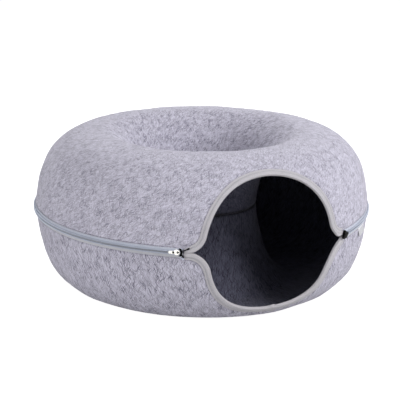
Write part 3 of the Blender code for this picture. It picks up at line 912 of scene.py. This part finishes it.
def felt_shell(name, half, finish):
    """Felt half: rows go from the cut edge and the zip rim to the crest, fanning out, and on to the hole.

    On the way to the crest the rows' share s is i^1.3, and their azimuths go over to the crest's as
    1 - (1 - s)^2. The outer face is the smooth face plus the felt's lift; the inner one lies its
    thickness below, less a bell-shaped rounding at the inner seam.
    """
    edge, second, crest_azimuth = shell_columns(half)
    rows = [edge + (second - edge) * share for share in np.linspace(0, 1, EDGE_ROWS + 1)]
    for share in np.linspace(0, 1, OUTER_ROWS + 1)[1:] ** ROW_GRADING:
        spread = 1 - (1 - share) ** 2
        azimuth = second[0] + (crest_azimuth - second[0]) * spread
        rows.append(np.stack([azimuth, second[1] + (half.crest_runs[0] - second[1]) * share]))
    level_runs = np.linspace(*half.crest_runs, FLAT_ROWS + 1)[1:] if half.flat else []
    to_seam = np.linspace(1, 0, FUNNEL_ROWS + 1)[1:] ** FUNNEL_GRADING
    funnel_runs = half.runs[-1] + (half.crest_runs[1] - half.runs[-1]) * to_seam
    for run in np.concatenate([level_runs, funnel_runs]):
        rows.append(np.stack([crest_azimuth, np.full_like(crest_azimuth, run)]))
    azimuth, run = np.stack(rows, axis=1)
    points = half.face(azimuth, run)
    out = half.directions(azimuth, run)[1]
    from_trim = np.linalg.norm(points[..., None, :] - points[0, : TRIM_COLUMNS + 1], axis=-1).min(axis=-1)
    lift = felt_lift(half, azimuth, run, points, from_trim)
    thickness = FELT - SEAM_GROOVE * np.exp(-(((half.runs[-1] - run) / SEAM_GROOVE_RUN) ** 2))
    outer = points + out * lift[..., None]
    inner = points + out * (lift - thickness)[..., None]
    sections = np.concatenate([outer, inner[::-1]]).transpose(1, 0, 2)
    turn = np.radians(azimuth)
    maps = {
        "outside": fibre_map(half, turn, run, OUTSIDE_RADIUS),
        "funnel": fibre_map(half, turn, run, FUNNEL_RADIUS),
    }
    near_hole = 1 - smooth(*MAP_FADE, half.radius(run))
    none = np.zeros_like(run)
    painted_crease_shade = crease_shade(half, azimuth, run, from_trim)
    # painted shade in the gap between the halves at the inner seam
    inner_seam_shade = np.exp(-(((half.runs[-1] - run) / SEAM_SHADE_RUN) ** 2))
    masks = {
        "funnel_share": np.concatenate([near_hole, near_hole[::-1]]).T,
        "inside": np.concatenate([none, np.ones_like(run)]).T,
        "painted_crease_shade": np.concatenate([painted_crease_shade, none]).T,
        "inner_seam_shade": np.concatenate([none, inner_seam_shade[::-1]]).T,
        "lower_half": np.full((run.shape[1], 2 * run.shape[0]), half.up < 0),
    }
    return skin(name, sections, finish, ring=True, maps=maps, masks=masks, sharp=50)


# ---------------------------------------------------------------- the binding


def path_frames(half, azimuth, run):
    """Points on a cut edge, the way back from it over one trim row, and the outward directions at both."""
    edge, edge_out = half.face(azimuth, run), half.directions(azimuth, run)[1]
    back_azimuth, back_run = half.behind_trim(azimuth, run)
    back, back_out = half.face(back_azimuth, back_run), half.directions(back_azimuth, back_run)[1]
    return edge, back, edge_out, back_out


def off_edge(frames, back, lift):
    """Points a distance back from the cut edge and a lift off the felt, both arrays over the path."""
    edge, behind, edge_out, back_out = frames
    share = (back / TRIM_ROW)[..., None]
    outwards = unit(edge_out + (back_out - edge_out) * np.clip(share, 0, 1))
    return edge + (behind - edge) * share + outwards * lift[..., None], outwards


def binding_path(half, segments, extra=()):
    """Azimuths and runs evenly spaced along the cut edge, with extra stations at the given lengths."""
    azimuth, run = half.trim(OUTLINE_STEPS)
    along = length_along(half.face(azimuth, run))
    stations = np.sort(np.concatenate([np.linspace(0, along[-1], segments + 1), extra]))
    return np.interp(stations, along, azimuth), np.interp(stations, along, run), stations


def binding_strip(name, half, finish):
    """Tape folded over the felt's edge: a U of two legs joined by quarter turns round the felt's corners.

    The outer leg rises between fold and stitches as sin^2, sinks under the stitches as a bell, and
    puckers beside them by a cosine along the tape. At the lower half's lap the tape is thicker up to
    the cut end that lies on top; the upper half's tape is cut narrow at its left end.
    """
    lap = LAP if half.up < 0 else None
    extra = [lap - LAP_STEP, lap + LAP_STEP] if lap else []
    azimuth, run, along = binding_path(half, BINDING_SEGMENTS, extra)
    frames = path_frames(half, azimuth, run)
    wander = sum(share * np.sin(along / length + k * half.up) for k, (length, share) in enumerate(WANDER, 1))
    width = BINDING_WIDTH + WIDTH_WANDER * wander
    if half.up > 0:
        cut = np.interp(along, [0, BINDING_TAPER], [BINDING_CUT_WIDTH, BINDING_WIDTH])
        width = np.minimum(width, cut)
    over = np.zeros_like(along)
    if lap:
        over = smooth(lap - LAP_LENGTH, lap - LAP_HOLD * LAP_LENGTH, along) * (along < lap)
    near, far = GAP, GAP + BINDING
    side = (azimuth > 0).astype(int)
    fill = np.array(SLIT_FILL)[side] * (1 - smooth(0, np.array(SLIT_OPENS)[side], run - SLIT_EDGE))
    over_fold = LAP_RISE * over + np.minimum(fill, run - far - LIPS_GAP)
    quarter = np.linspace(0, math.pi / 2, FOLD_STEPS)
    legs = np.linspace(1, 0, LEG_STEPS)
    # each corner of the section: its share of the way back, how far past that, its lift, and its place
    outline = [(share, 0.0, far, "outer") for share in np.linspace(1, 0, OUTER_LEG_STEPS)[:-1]]
    outline += [(0.0, -far * math.sin(turn), far * math.cos(turn), "fold") for turn in quarter]
    outline += [(0.0, -far * math.cos(turn), -FELT - far * math.sin(turn), "under") for turn in quarter]
    outline += [(share, 0.0, -FELT - far, "inner") for share in legs[::-1][1:]]
    outline += [(share, 0.0, -FELT - near, "lining") for share in legs[:-1]]
    outline += [(0.0, -near, -FELT - near, "lining"), (0.0, -near, near, "lining")]
    outline += [(share, 0.0, near, "lining") for share in legs[::-1][1:]]
    corners, painted_groove_shade = [], []
    for share, depth, lift, kind in outline:
        back = share * width + depth * (1 + over_fold / far * (kind in ("fold", "under")))
        from_stitch = back - (width - STITCH_INSET)
        # the groove's bell: it sinks the outer leg under the stitches and sets the shade painted there
        painted_shade = np.exp(-((from_stitch / GROOVE_WIDTH) ** 2)) * (kind == "outer")
        height = lift + LAP_THICKNESS * over * (kind in ("outer", "fold"))
        if kind == "outer":
            pucker = np.cos(2 * math.pi * along / STITCH_PITCH)
            pucker = pucker * np.exp(-((from_stitch / PUCKER_WIDTH) ** 2))
            height += PUFF * np.sin(np.clip(back / (width - STITCH_INSET), 0, 1) * math.pi) ** 2
            height += PUCKER * pucker - GROOVE * painted_shade
        corners.append(off_edge(frames, back, height)[0])
        painted_groove_shade.append(GROOVE_SHADE * painted_shade)
    sections = np.stack(corners, axis=1)
    masks = {"painted_shade": np.stack(painted_groove_shade, axis=1)}
    return skin(name, sections, finish, maps={"cloth": strip_map(along, sections)}, masks=masks, sharp=50)


# ---------------------------------------------------------------- sewing


def stitch_row(name, centres, tangents, normals, finish, length):
    """A row of stitches: each a thread that dips into the cloth at both ends.

    Along a stitch of length L and thread radius r, with u from -1 to 1, the centre line is u L/2
    along and r (0.5 - 1.2 u^2) out, and the section is a circle of radius r (1 - u^6)^(1/2).
    """
    u = np.linspace(-STITCH_SPAN, STITCH_SPAN, STITCH_RINGS)
    turn = np.arange(STITCH_SIDES) * 2 * math.pi / STITCH_SIDES
    thin = np.sqrt(1 - u**6) * THREAD
    sides = np.cross(normals, tangents)
    core = tangents[:, None] * (u * length / 2)[None, :, None]
    core = core + normals[:, None] * (THREAD * (STITCH_RISE - STITCH_DIP * u**2))[None, :, None]
    ring = sides[:, None, None] * (thin[:, None] * np.cos(turn))[None, ..., None]
    ring = ring + normals[:, None, None] * (thin[:, None] * np.sin(turn))[None, ..., None]
    points = centres[:, None, None] + core[:, :, None] + ring
    each = STITCH_RINGS * STITCH_SIDES
    one = swept_quads(STITCH_RINGS, STITCH_SIDES, False)
    offsets = np.arange(len(centres)) * each
    quads = (offsets[:, None, None] + one[None]).reshape(-1, 4)
    first = np.arange(STITCH_SIDES)
    last = each - 1 - first
    caps = np.concatenate([offsets[:, None] + first, offsets[:, None] + last])
    flat = points.reshape(-1, 3)
    if volume_of(flat[:each], one) < 0:
        quads = quads[:, ::-1]
    else:
        caps = caps[:, ::-1]
    along = np.broadcast_to((u * length)[None, :, None], points.shape[:3]).reshape(-1)
    around = np.broadcast_to((turn * THREAD)[None, None, :], points.shape[:3]).reshape(-1)
    uv = np.stack([along[quads], around[quads]], axis=-1)
    return put_mesh(name, flat, quads, finish, caps.tolist(), {"cloth": uv})


def spaced(points, normals, pitch):
    """Places one pitch apart along a path: centres, unit tangents and normals."""
    along = length_along(points)
    places = np.arange(pitch / 2, along[-1] - pitch / 2, pitch)
    centres, ahead = (points_at(places + step, along, points) for step in (0, 5 * DIFFERENCE))
    ups = unit(points_at(places, along, normals))
    tangents = ahead - centres
    tangents = unit(tangents - ups * np.sum(tangents * ups, axis=-1, keepdims=True))
    return centres, tangents, ups


def binding_stitches(name, half, finish):
    """Lockstitch along the binding, one inset from its sewn edge, on its face."""
    azimuth, run, along = binding_path(half, BINDING_SEGMENTS)
    frames = path_frames(half, azimuth, run)
    back = np.full_like(along, BINDING_WIDTH - STITCH_INSET)
    lift = np.full_like(along, GAP + BINDING - GROOVE + STITCH_LIFT * THREAD)
    points, normals = (values[STITCH_ROW_STARTS:] for values in off_edge(frames, back, lift))
    return stitch_row(name, *spaced(points, normals, STITCH_PITCH), finish, STITCH_LENGTH)


# ---------------------------------------------------------------- the zip


def zip_tape(name, half, finish):
    """Zip tape: a flat strip on the felt's rim, whose section is a superellipse."""
    azimuth = np.linspace(TAPE_START, TAPE_END, TAPE_SEGMENTS + 1)
    turn = 2 * math.pi * np.linspace(0, 1, TAPE_CORNERS, endpoint=False)[:, None]
    middle, reach = (TAPE_EDGE + half.tape) / 2, (half.tape - TAPE_EDGE) / 2
    run = middle + reach * powered(np.cos(turn), 2 / TAPE_POWER)
    lift = GAP + TAPE / 2 * (1 + powered(np.sin(turn), 2 / TAPE_POWER))
    sections = half.lifted(azimuth, run, lift).transpose(1, 0, 2)
    cloth = strip_map(length_along(sections[:, 0]), sections)
    return skin(name, sections, finish, maps={"cloth": cloth}, sharp=60)


def tape_stitches(name, half, finish):
    """Lockstitch along the tape, near its sewn edge."""
    azimuth = np.linspace(ZIP_START + TAPE_STITCH_START, ZIP_END - TAPE_STITCH_START, TAPE_SEGMENTS + 1)
    run = np.full_like(azimuth, half.tape - TAPE_STITCH_INSET)
    points = half.lifted(azimuth, run, np.full_like(azimuth, GAP + TAPE + TAPE_STITCH_LIFT * THREAD))
    normals = half.directions(azimuth, run)[1]
    return stitch_row(name, *spaced(points, normals, TAPE_STITCH_PITCH), finish, TAPE_STITCH_LENGTH)


def zip_coil(name, half, finish):
    """Coil: a strand wound round a flat oval core along the zip, one turn to a pitch.

    At turn t it is W/2 cos t across the chain and T/2 sin t off it, with both drawn towards the oval's
    corners by a power, and it moves one pitch along. Shade is painted on it where its turns go under.
    """
    azimuth = np.linspace(ZIP_START, ZIP_END, TAPE_SEGMENTS + 1)
    run = np.full_like(azimuth, TAPE_EDGE + COIL_WIDTH / 2)
    down, out = half.directions(azimuth, run)
    centre = half.face(azimuth, run) + out * (COIL_BED + COIL_THICKNESS / 2)
    along = length_along(centre)
    turns = int(along[-1] / COIL_PITCH)
    turn = np.arange(turns * COIL_STEPS + 1) * 2 * math.pi / COIL_STEPS + COIL_PHASE[half.name]
    place = np.linspace(0, along[-1], len(turn))
    middle, side, high = (points_at(place, along, path) for path in (centre, down, out))
    across, above = powered(np.cos(turn), COIL_SQUARE), powered(np.sin(turn), COIL_SQUARE)
    radial = unit(side * across[:, None] / COIL_WIDTH + high * above[:, None] / COIL_THICKNESS)
    wide, thick = COIL_WIDTH / 2 - STRAND, COIL_THICKNESS / 2 - STRAND
    core = middle + side * (across * wide)[:, None] + high * (above * thick)[:, None]
    tangent = unit(np.gradient(core, axis=0))
    radial = unit(radial - tangent * np.sum(radial * tangent, axis=-1, keepdims=True))
    sections = round_sections(core, STRAND, radial, np.cross(tangent, radial), STRAND_SIDES)
    # painted shade on the sides of the turns that go under
    shade = np.clip(-across, 0, 1) ** 3 + COIL_SHADE * np.clip(across, 0, 1) ** 6
    masks = {"painted_shade": np.broadcast_to(shade[:, None], sections.shape[:2])}
    return skin(name, sections, finish, masks=masks)


def coil_end(name, half, finish, row, lift):
    """The end of a coil that splays from the slider: a round tube through the places of its row.

    Its radius follows the row in straight steps, swells near the tip as a bell, and closes at it as a
    circle does, by (1 - s^2)^(1/2) of the way s over the closing's radius.
    """
    steps = np.linspace(0, len(row) - 1, COIL_END_RINGS)
    azimuth, run, radius = (np.interp(steps, np.arange(len(row)), column) for column in zip(*row))
    to_tip = steps - steps[-1]
    spread, swell = COIL_END_SWELL
    starts, close = COIL_END_CLOSE
    radius = radius + swell * np.exp(-(((to_tip + spread) / spread) ** 2))
    radius = radius * np.sqrt(1 - (np.clip(to_tip + starts, 0, 1) / close) ** 2)
    out = half.directions(azimuth, run)[1]
    core = half.face(azimuth, run) + out * lift
    beside = unit(np.cross(unit(np.gradient(core, axis=0)), out))
    return skin(name, round_sections(core, radius, beside, out, COIL_END_SIDES), finish)


# ---------------------------------------------------------------- slider, stops and box

# Outlines in millimetres on the zip line's plane: along the chain, and up from its own middle.
PLATE = [(4.8, 0.0), (3.5, 3.1), (1.2, 4.6), (-2.8, 4.6), (-4.8, 2.9)]
CROWN = [(-4.4, 1.0), (-4.4, -1.0), (-0.4, -1.5), (-0.4, 1.5)]
# black patches painted for shade: the crown's dark slot in front of it, and the shade under the tab's window
ARROW = [(4.2, 0.0), (-0.1, 2.3), (-0.1, -2.3)]
WINDOW_SHADE = [(-8.0, 1.9), (-8.0, -1.9), (-5.0, -1.9), (-5.0, 1.9)]
TAB = [(-1.4, 2.0), (-4.4, 2.3), (-6.0, 2.5), (-12.6, 2.5), (-13.9, 1.5)]
TAB_WINDOW = [(-2.4, 1.4), (-4.6, 1.7), (-7.6, 1.8)]
STOP = [
    (5.2, 0.1),
    (9.0, 0.1),
    (7.8, 2.8),
    (6.6, 5.8),
    (5.0, 6.6),
    (2.4, 6.4),
    (2.2, 5.6),
    (3.9, 4.3),
    (4.9, 2.2),
]
BOX = [
    (-1.9, 8.5),
    (1.0, 6.2),
    (8.9, 1.3),
    (6.4, -1.4),
    (5.3, -3.2),
    (2.4, -5.9),
    (-5.0, -6.7),
    (-8.1, -4.1),
    (-5.0, -0.9),
    (-2.7, 1.0),
    (-4.8, 4.7),
    (-4.1, 7.6),
]


def mirrored(outline):
    """The outline and its mirror image across the chain, as one closed outline."""
    return outline + [(x, -y) for x, y in outline[::-1] if y]


CHAIN_MIDDLE = 1.5  # millimetres of the slider's middle above the zip line, as in the photograph
OUTLINE_POINTS = 9  # a corner
MOST_ROUNDED = 0.48  # of a side, at either end of it
# each flat block's outline, the millimetres that it is rounded over and stands above the zip line,
# and in metres the lowest and the highest level and how far its edges are cut back
BLOCKS = {
    "slider": (mirrored(PLATE), 2.2, CHAIN_MIDDLE, 0.0040, 0.0052, 0.0004),
    "slider_crown": (CROWN, 0.9, CHAIN_MIDDLE, 0.0050, 0.0080, 0.0004),
    # black patches painted for the shade in the crown's slot and under the tab's window
    "slider_shade_patch": (ARROW, 0.3, CHAIN_MIDDLE, 0.0050, 0.0055, 0.0001),
    "tab_window_shade_patch": (WINDOW_SHADE, 0.5, CHAIN_MIDDLE, 0.0041, 0.0050, 0.0001),
    "upper_stop": (STOP, 0.5, CHAIN_MIDDLE, 0.0040, 0.0056, 0.0003),
    "lower_stop": ([(x, -y) for x, y in STOP], 0.5, CHAIN_MIDDLE, 0.0040, 0.0056, 0.0003),
    "retainer_box": (BOX, 1.3, 0.0, 0.0016, 0.0056, 0.0007),
}
TAB_ROUND, WINDOW_ROUND = 1.2, 0.9
TAB_LOW, TAB_HIGH, TAB_EDGE = 0.00565, 0.00665, 0.0002
TAB_PIVOT = -0.0020
TAB_SLOPE = math.tan(math.radians(5))
TAB_POINTS = 96


def rounded(outline, reach, middle):
    """A closed outline in metres, each corner drawn as a parabola that starts and ends a reach from it.

    A parabola from a to c with the corner b is (1 - t)^2 a + 2 t (1 - t) b + t^2 c.
    """
    corner = (np.array(outline) + [0, middle]) / 1000
    start, end = (
        corner + way / length * np.minimum(reach / 1000, MOST_ROUNDED * length)
        for way in (np.roll(corner, 1, axis=0) - corner, np.roll(corner, -1, axis=0) - corner)
        for length in [np.linalg.norm(way, axis=1, keepdims=True)]
    )
    t = np.linspace(0, 1, OUTLINE_POINTS)[None, :, None]
    curve = (1 - t) ** 2 * start[:, None] + 2 * t * (1 - t) * corner[:, None] + t**2 * end[:, None]
    return curve.reshape(-1, 2)


def drawn_in(outline, depth):
    """The closed outline moved inwards by a depth, square to the line between each point's neighbours."""
    along = unit(np.roll(outline, -1, axis=0) - np.roll(outline, 1, axis=0))
    ahead = np.roll(outline, -1, axis=0)
    area = np.sum(outline[:, 0] * ahead[:, 1] - outline[:, 1] * ahead[:, 0])
    inwards = np.stack([-along[:, 1], along[:, 0]], axis=-1) * np.sign(area)
    return outline + inwards * depth


def on_zip(half, azimuth, flat, height):
    """Points on the zip line's plane at an azimuth: flat (n, 2) along it and up it, and a height off it."""
    origin, out = half.face(azimuth, 0.0), half.directions(azimuth, 0.0)[1]
    turn = math.radians(azimuth)
    along = np.array([math.cos(turn), math.sin(turn), 0])
    up = unit(np.cross(out, along))
    height = np.broadcast_to(height, len(flat))
    return origin + flat[:, :1] * along + flat[:, 1:] * up + height[:, None] * np.cross(along, up)


def block(name, half, finish, azimuth=SLIDER_AZIMUTH):
    """A flat solid between two heights off the zip line's plane, its edges cut back by quarter turns."""
    outline, reach, middle, low, high, edge = BLOCKS[name]
    turn = np.linspace(0, math.pi / 2, FOLD_STEPS)
    levels = [(low + edge * (1 - math.cos(step)), edge * (1 - math.sin(step))) for step in turn]
    levels += [(high - edge * (1 - math.sin(step)), edge * (1 - math.cos(step))) for step in turn]
    shape = rounded(outline, reach, middle)
    sections = [on_zip(half, azimuth, drawn_in(shape, depth), height) for height, depth in levels]
    return skin(name, np.stack(sections), finish, sharp=40)


def pull_tab(name, half, finish):
    """The flat tab with its window: a band round its outline that reaches in to the window's edge."""
    outside = rounded(mirrored(TAB), TAB_ROUND, CHAIN_MIDDLE)
    window = rounded(mirrored(TAB_WINDOW), WINDOW_ROUND, CHAIN_MIDDLE)
    even = np.linspace(-math.pi, math.pi, TAB_POINTS + 1)[:-1]
    lines = []
    for line in (outside, window):
        turn = np.arctan2(*(line - window.mean(axis=0)).T[::-1])
        ways = [np.interp(even, turn, line[:, k], period=2 * math.pi) for k in range(2)]
        lines.append(np.stack(ways, axis=-1))
    upwards = [(TAB_EDGE, TAB_LOW), (0, TAB_LOW + TAB_EDGE), (0, TAB_HIGH - TAB_EDGE), (TAB_EDGE, TAB_HIGH)]
    corners = [(lines[0], depth, height) for depth, height in upwards]
    corners += [(lines[1], -depth, height) for depth, height in upwards[::-1]]
    sections = []
    for line, depth, height in corners:
        flat = drawn_in(line, depth)
        sections.append(on_zip(half, SLIDER_AZIMUTH, flat, height + TAB_SLOPE * (flat[:, 0] - TAB_PIVOT)))
    return skin(name, np.stack(sections, axis=1), finish, ring=True, sharp=40)


# ---------------------------------------------------------------- the label


def label_strip(name, half, finish):
    """Ribbon label: sewn down at its top, standing off more and more towards its free lower edge.

    With s from 0 at its top to 1 at its free edge, it lifts by s times a height and a wave of sin across.
    """
    azimuth = np.linspace(*LABEL_AZIMUTHS, LABEL_COLUMNS)
    run = np.linspace(*LABEL_RUNS, LABEL_ROWS)[:, None]
    share = np.linspace(0, 1, LABEL_ROWS)
    wave = 1 + np.sin(np.linspace(0, 2 * math.pi, LABEL_COLUMNS) + LABEL_PHASE)
    lift = GAP + share[:, None] * (LABEL_LIFT + LABEL_WAVE * wave)
    top, low = (half.lifted(azimuth, run, lift + thick) for thick in (LABEL_THIN, 0))
    sections = np.concatenate([top, low[::-1]]).transpose(1, 0, 2)
    cloth = strip_map(length_along(sections[:, 0]), sections)
    # painted shade on the label below its sewn top
    shade = LABEL_SHADE * smooth(*LABEL_SHADED, np.append(share, share[::-1]))
    masks = {"painted_shade": np.broadcast_to(shade, sections.shape[:2])}
    return skin(name, sections, finish, maps={"cloth": cloth}, masks=masks, sharp=60)


# ---------------------------------------------------------------- camera, light and floor

VIEW_AZIMUTH = -24.05  # of the photograph's camera, from -Y towards +X
VIEW_ELEVATION = 15.78
VIEW_DISTANCE = 2.292
VIEW_TARGET = Vector((0, AXIS_Y, 0.141))
VIEW_ROLL = 0.0083
VIEW_FOCAL_PIXELS = 1271.7
VIEW_CENTRE_PIXELS = (202.13, 200.2)
IMAGE_PIXELS = 400
SENSOR = 36.0


def way_to(azimuth, elevation):
    """Unit vector towards an azimuth from -Y towards +X, and an elevation, both in degrees."""
    turn, rise = math.radians(azimuth), math.radians(elevation)
    return Vector((math.sin(turn) * math.cos(rise), -math.cos(turn) * math.cos(rise), math.sin(rise)))


def looks_from(place):
    """A matrix that stands at a place and looks at the middle of the ring."""
    aim = (VIEW_TARGET - place).to_track_quat("-Z", "Y").to_matrix().to_4x4()
    return Matrix.Translation(place) @ aim


def add_camera():
    """The photograph's camera, solved from the outline, the zip line, the opening and the inner seam."""
    data = bpy.data.cameras.new("camera")
    data.sensor_width = SENSOR
    data.lens = VIEW_FOCAL_PIXELS / IMAGE_PIXELS * SENSOR
    data.shift_x = -(VIEW_CENTRE_PIXELS[0] - IMAGE_PIXELS / 2) / IMAGE_PIXELS
    data.shift_y = (VIEW_CENTRE_PIXELS[1] - IMAGE_PIXELS / 2) / IMAGE_PIXELS
    data.clip_start = 0.05
    camera = bpy.data.objects.new("camera", data)
    bpy.context.scene.collection.objects.link(camera)
    place = VIEW_TARGET + VIEW_DISTANCE * way_to(VIEW_AZIMUTH, VIEW_ELEVATION)
    camera.matrix_world = looks_from(place) @ Matrix.Rotation(VIEW_ROLL, 4, "Z")
    bpy.context.scene.camera = camera


def add_area_light(name, azimuth, elevation, distance, size, power):
    """A square softbox that looks at the middle of the ring."""
    data = bpy.data.lights.new(name, "AREA")
    data.size = size
    data.energy = power
    light = bpy.data.objects.new(name, data)
    bpy.context.scene.collection.objects.link(light)
    light.matrix_world = looks_from(VIEW_TARGET + distance * way_to(azimuth, elevation))


def by_view(nodes, seen, unseen, output):
    """Shows one shader to the camera and in reflections, and lights the rest with another."""
    paths = nodes.add("ShaderNodeLightPath").outputs
    share = nodes.math("MAXIMUM", paths["Is Camera Ray"], paths["Is Glossy Ray"])
    mixed = nodes.add("ShaderNodeMixShader", {0: share, 1: unseen.outputs[0], 2: seen.outputs[0]})
    nodes.feed(output.inputs[0], mixed.outputs[0])


WHITE = (1, 1, 1, 1)
PAPER = (0.32, 0.32, 0.32, 1)
FLOOR_REACH = 12.0


def add_world(strength):
    """White behind the object, and soft light of a lower strength all round it."""
    world = bpy.data.worlds.new("studio")
    world.use_nodes = True
    world.node_tree.nodes.clear()
    nodes = Nodes(world.node_tree)
    seen = nodes.add("ShaderNodeBackground", {"Color": WHITE, "Strength": 1.0})
    unseen = nodes.add("ShaderNodeBackground", {"Color": WHITE, "Strength": strength})
    by_view(nodes, seen, unseen, nodes.add("ShaderNodeOutputWorld"))
    bpy.context.scene.world = world


def floor_material():
    """Matt white paper: the camera sees it as white, and it throws back only part of the light."""
    finish, nodes, shader = new_material(
        "floor",
        PAPER,
        0.95,
        Specular_IOR_Level=0.0,
        Emission_Color=WHITE,
        Emission_Strength=FLOOR_GLOW,
    )
    dull = nodes.add("ShaderNodeBsdfDiffuse", {"Color": (FLOOR_BOUNCE, FLOOR_BOUNCE, FLOOR_BOUNCE, 1)})
    output = next(node for node in nodes.tree.nodes if node.type == "OUTPUT_MATERIAL")
    by_view(nodes, shader, dull, output)
    return finish


def add_floor():
    """A pale floor at the height that the ring stands on, far wider than the view."""
    reach = FLOOR_REACH
    points = np.array([(-reach, -reach, 0), (reach, -reach, 0), (reach, reach, 0), (-reach, reach, 0)])
    floor = put_mesh("floor", points, np.array([[0, 1, 2, 3]]), floor_material())


# ---------------------------------------------------------------- the whole


def place_piece(piece, slot, *nodes):
    """The piece on the one body, with the solids that it stands for hidden; its slot is not used."""
    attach(piece, "root")
    if nodes:
        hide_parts(*nodes)
    return piece


def add_half(half, side, made):
    """Felt, binding, zip tape and coil of one half, with their sewing and what each cloth rests on."""
    felt = place_piece(felt_shell(f"{side}_felt", half, made["felt"]), "felt", f"{side}_shell")
    strip = place_piece(binding_strip(f"{side}_trim", half, made["binding"]), "binding", f"{side}_binding")
    sewing = place_piece(binding_stitches(f"{side}_trim_stitches", half, made["thread"]), "binding")
    tape = zip_tape(f"{half.name}_tape", half, made[f"{half.name}_tape"])
    place_piece(tape, "zip_tape", f"{half.name}_zip_tape")
    sewing = place_piece(tape_stitches(f"{half.name}_tape_stitches", half, made["thread"]), "zip_tape")
    place_piece(zip_coil(f"{half.name}_coil", half, made["coil"]), "coil", f"{half.name}_zip_coil")
    # the black finish on the coils' ends is painted shade: they are coil, lying in the shade of the gap by
    # the slider
    end = coil_end(f"{half.name}_coil_end", half, made["black"], COIL_ENDS[half.name], COIL_END_LIFT)
    place_piece(end, "black")


def main():
    made = make_materials()
    silver, black = made["silver"], made["black"]
    upper, lower = Half("upper"), Half("lower")
    add_half(upper, "top", made)
    add_half(lower, "bottom", made)
    place_piece(coil_end("filament_end", lower, made["coil"], FILAMENT_END, FILAMENT_LIFT), "coil")
    label = place_piece(label_strip("label_ribbon", lower, made["label"]), "label", "side_label")
    slider = joined(block("slider", upper, silver), block("slider_crown", upper, silver))
    place_piece(slider, "silver", "zip_slider")
    # black patches painted for the shade in the crown's slot and under the tab's window
    shade_patches = joined(block("slider_shade_patch", upper, black), block("tab_window_shade_patch", upper, black))
    place_piece(shade_patches, "black")
    place_piece(pull_tab("pull_tab", upper, silver), "silver", "zip_pull_tab")
    place_piece(block("upper_stop", upper, black), "black", "upper_coil_stop")
    place_piece(block("lower_stop", upper, black), "black", "lower_coil_stop")
    place_piece(block("retainer_box", upper, black, BOX_AZIMUTH), "black", "zip_retainer_box")
    add_camera()
    add_floor()
    add_world(WORLD_LIGHT)
    for name, row in LIGHTS.items():
        add_area_light(name, *row)
    bpy.context.scene.view_settings.view_transform = "Standard"


main()
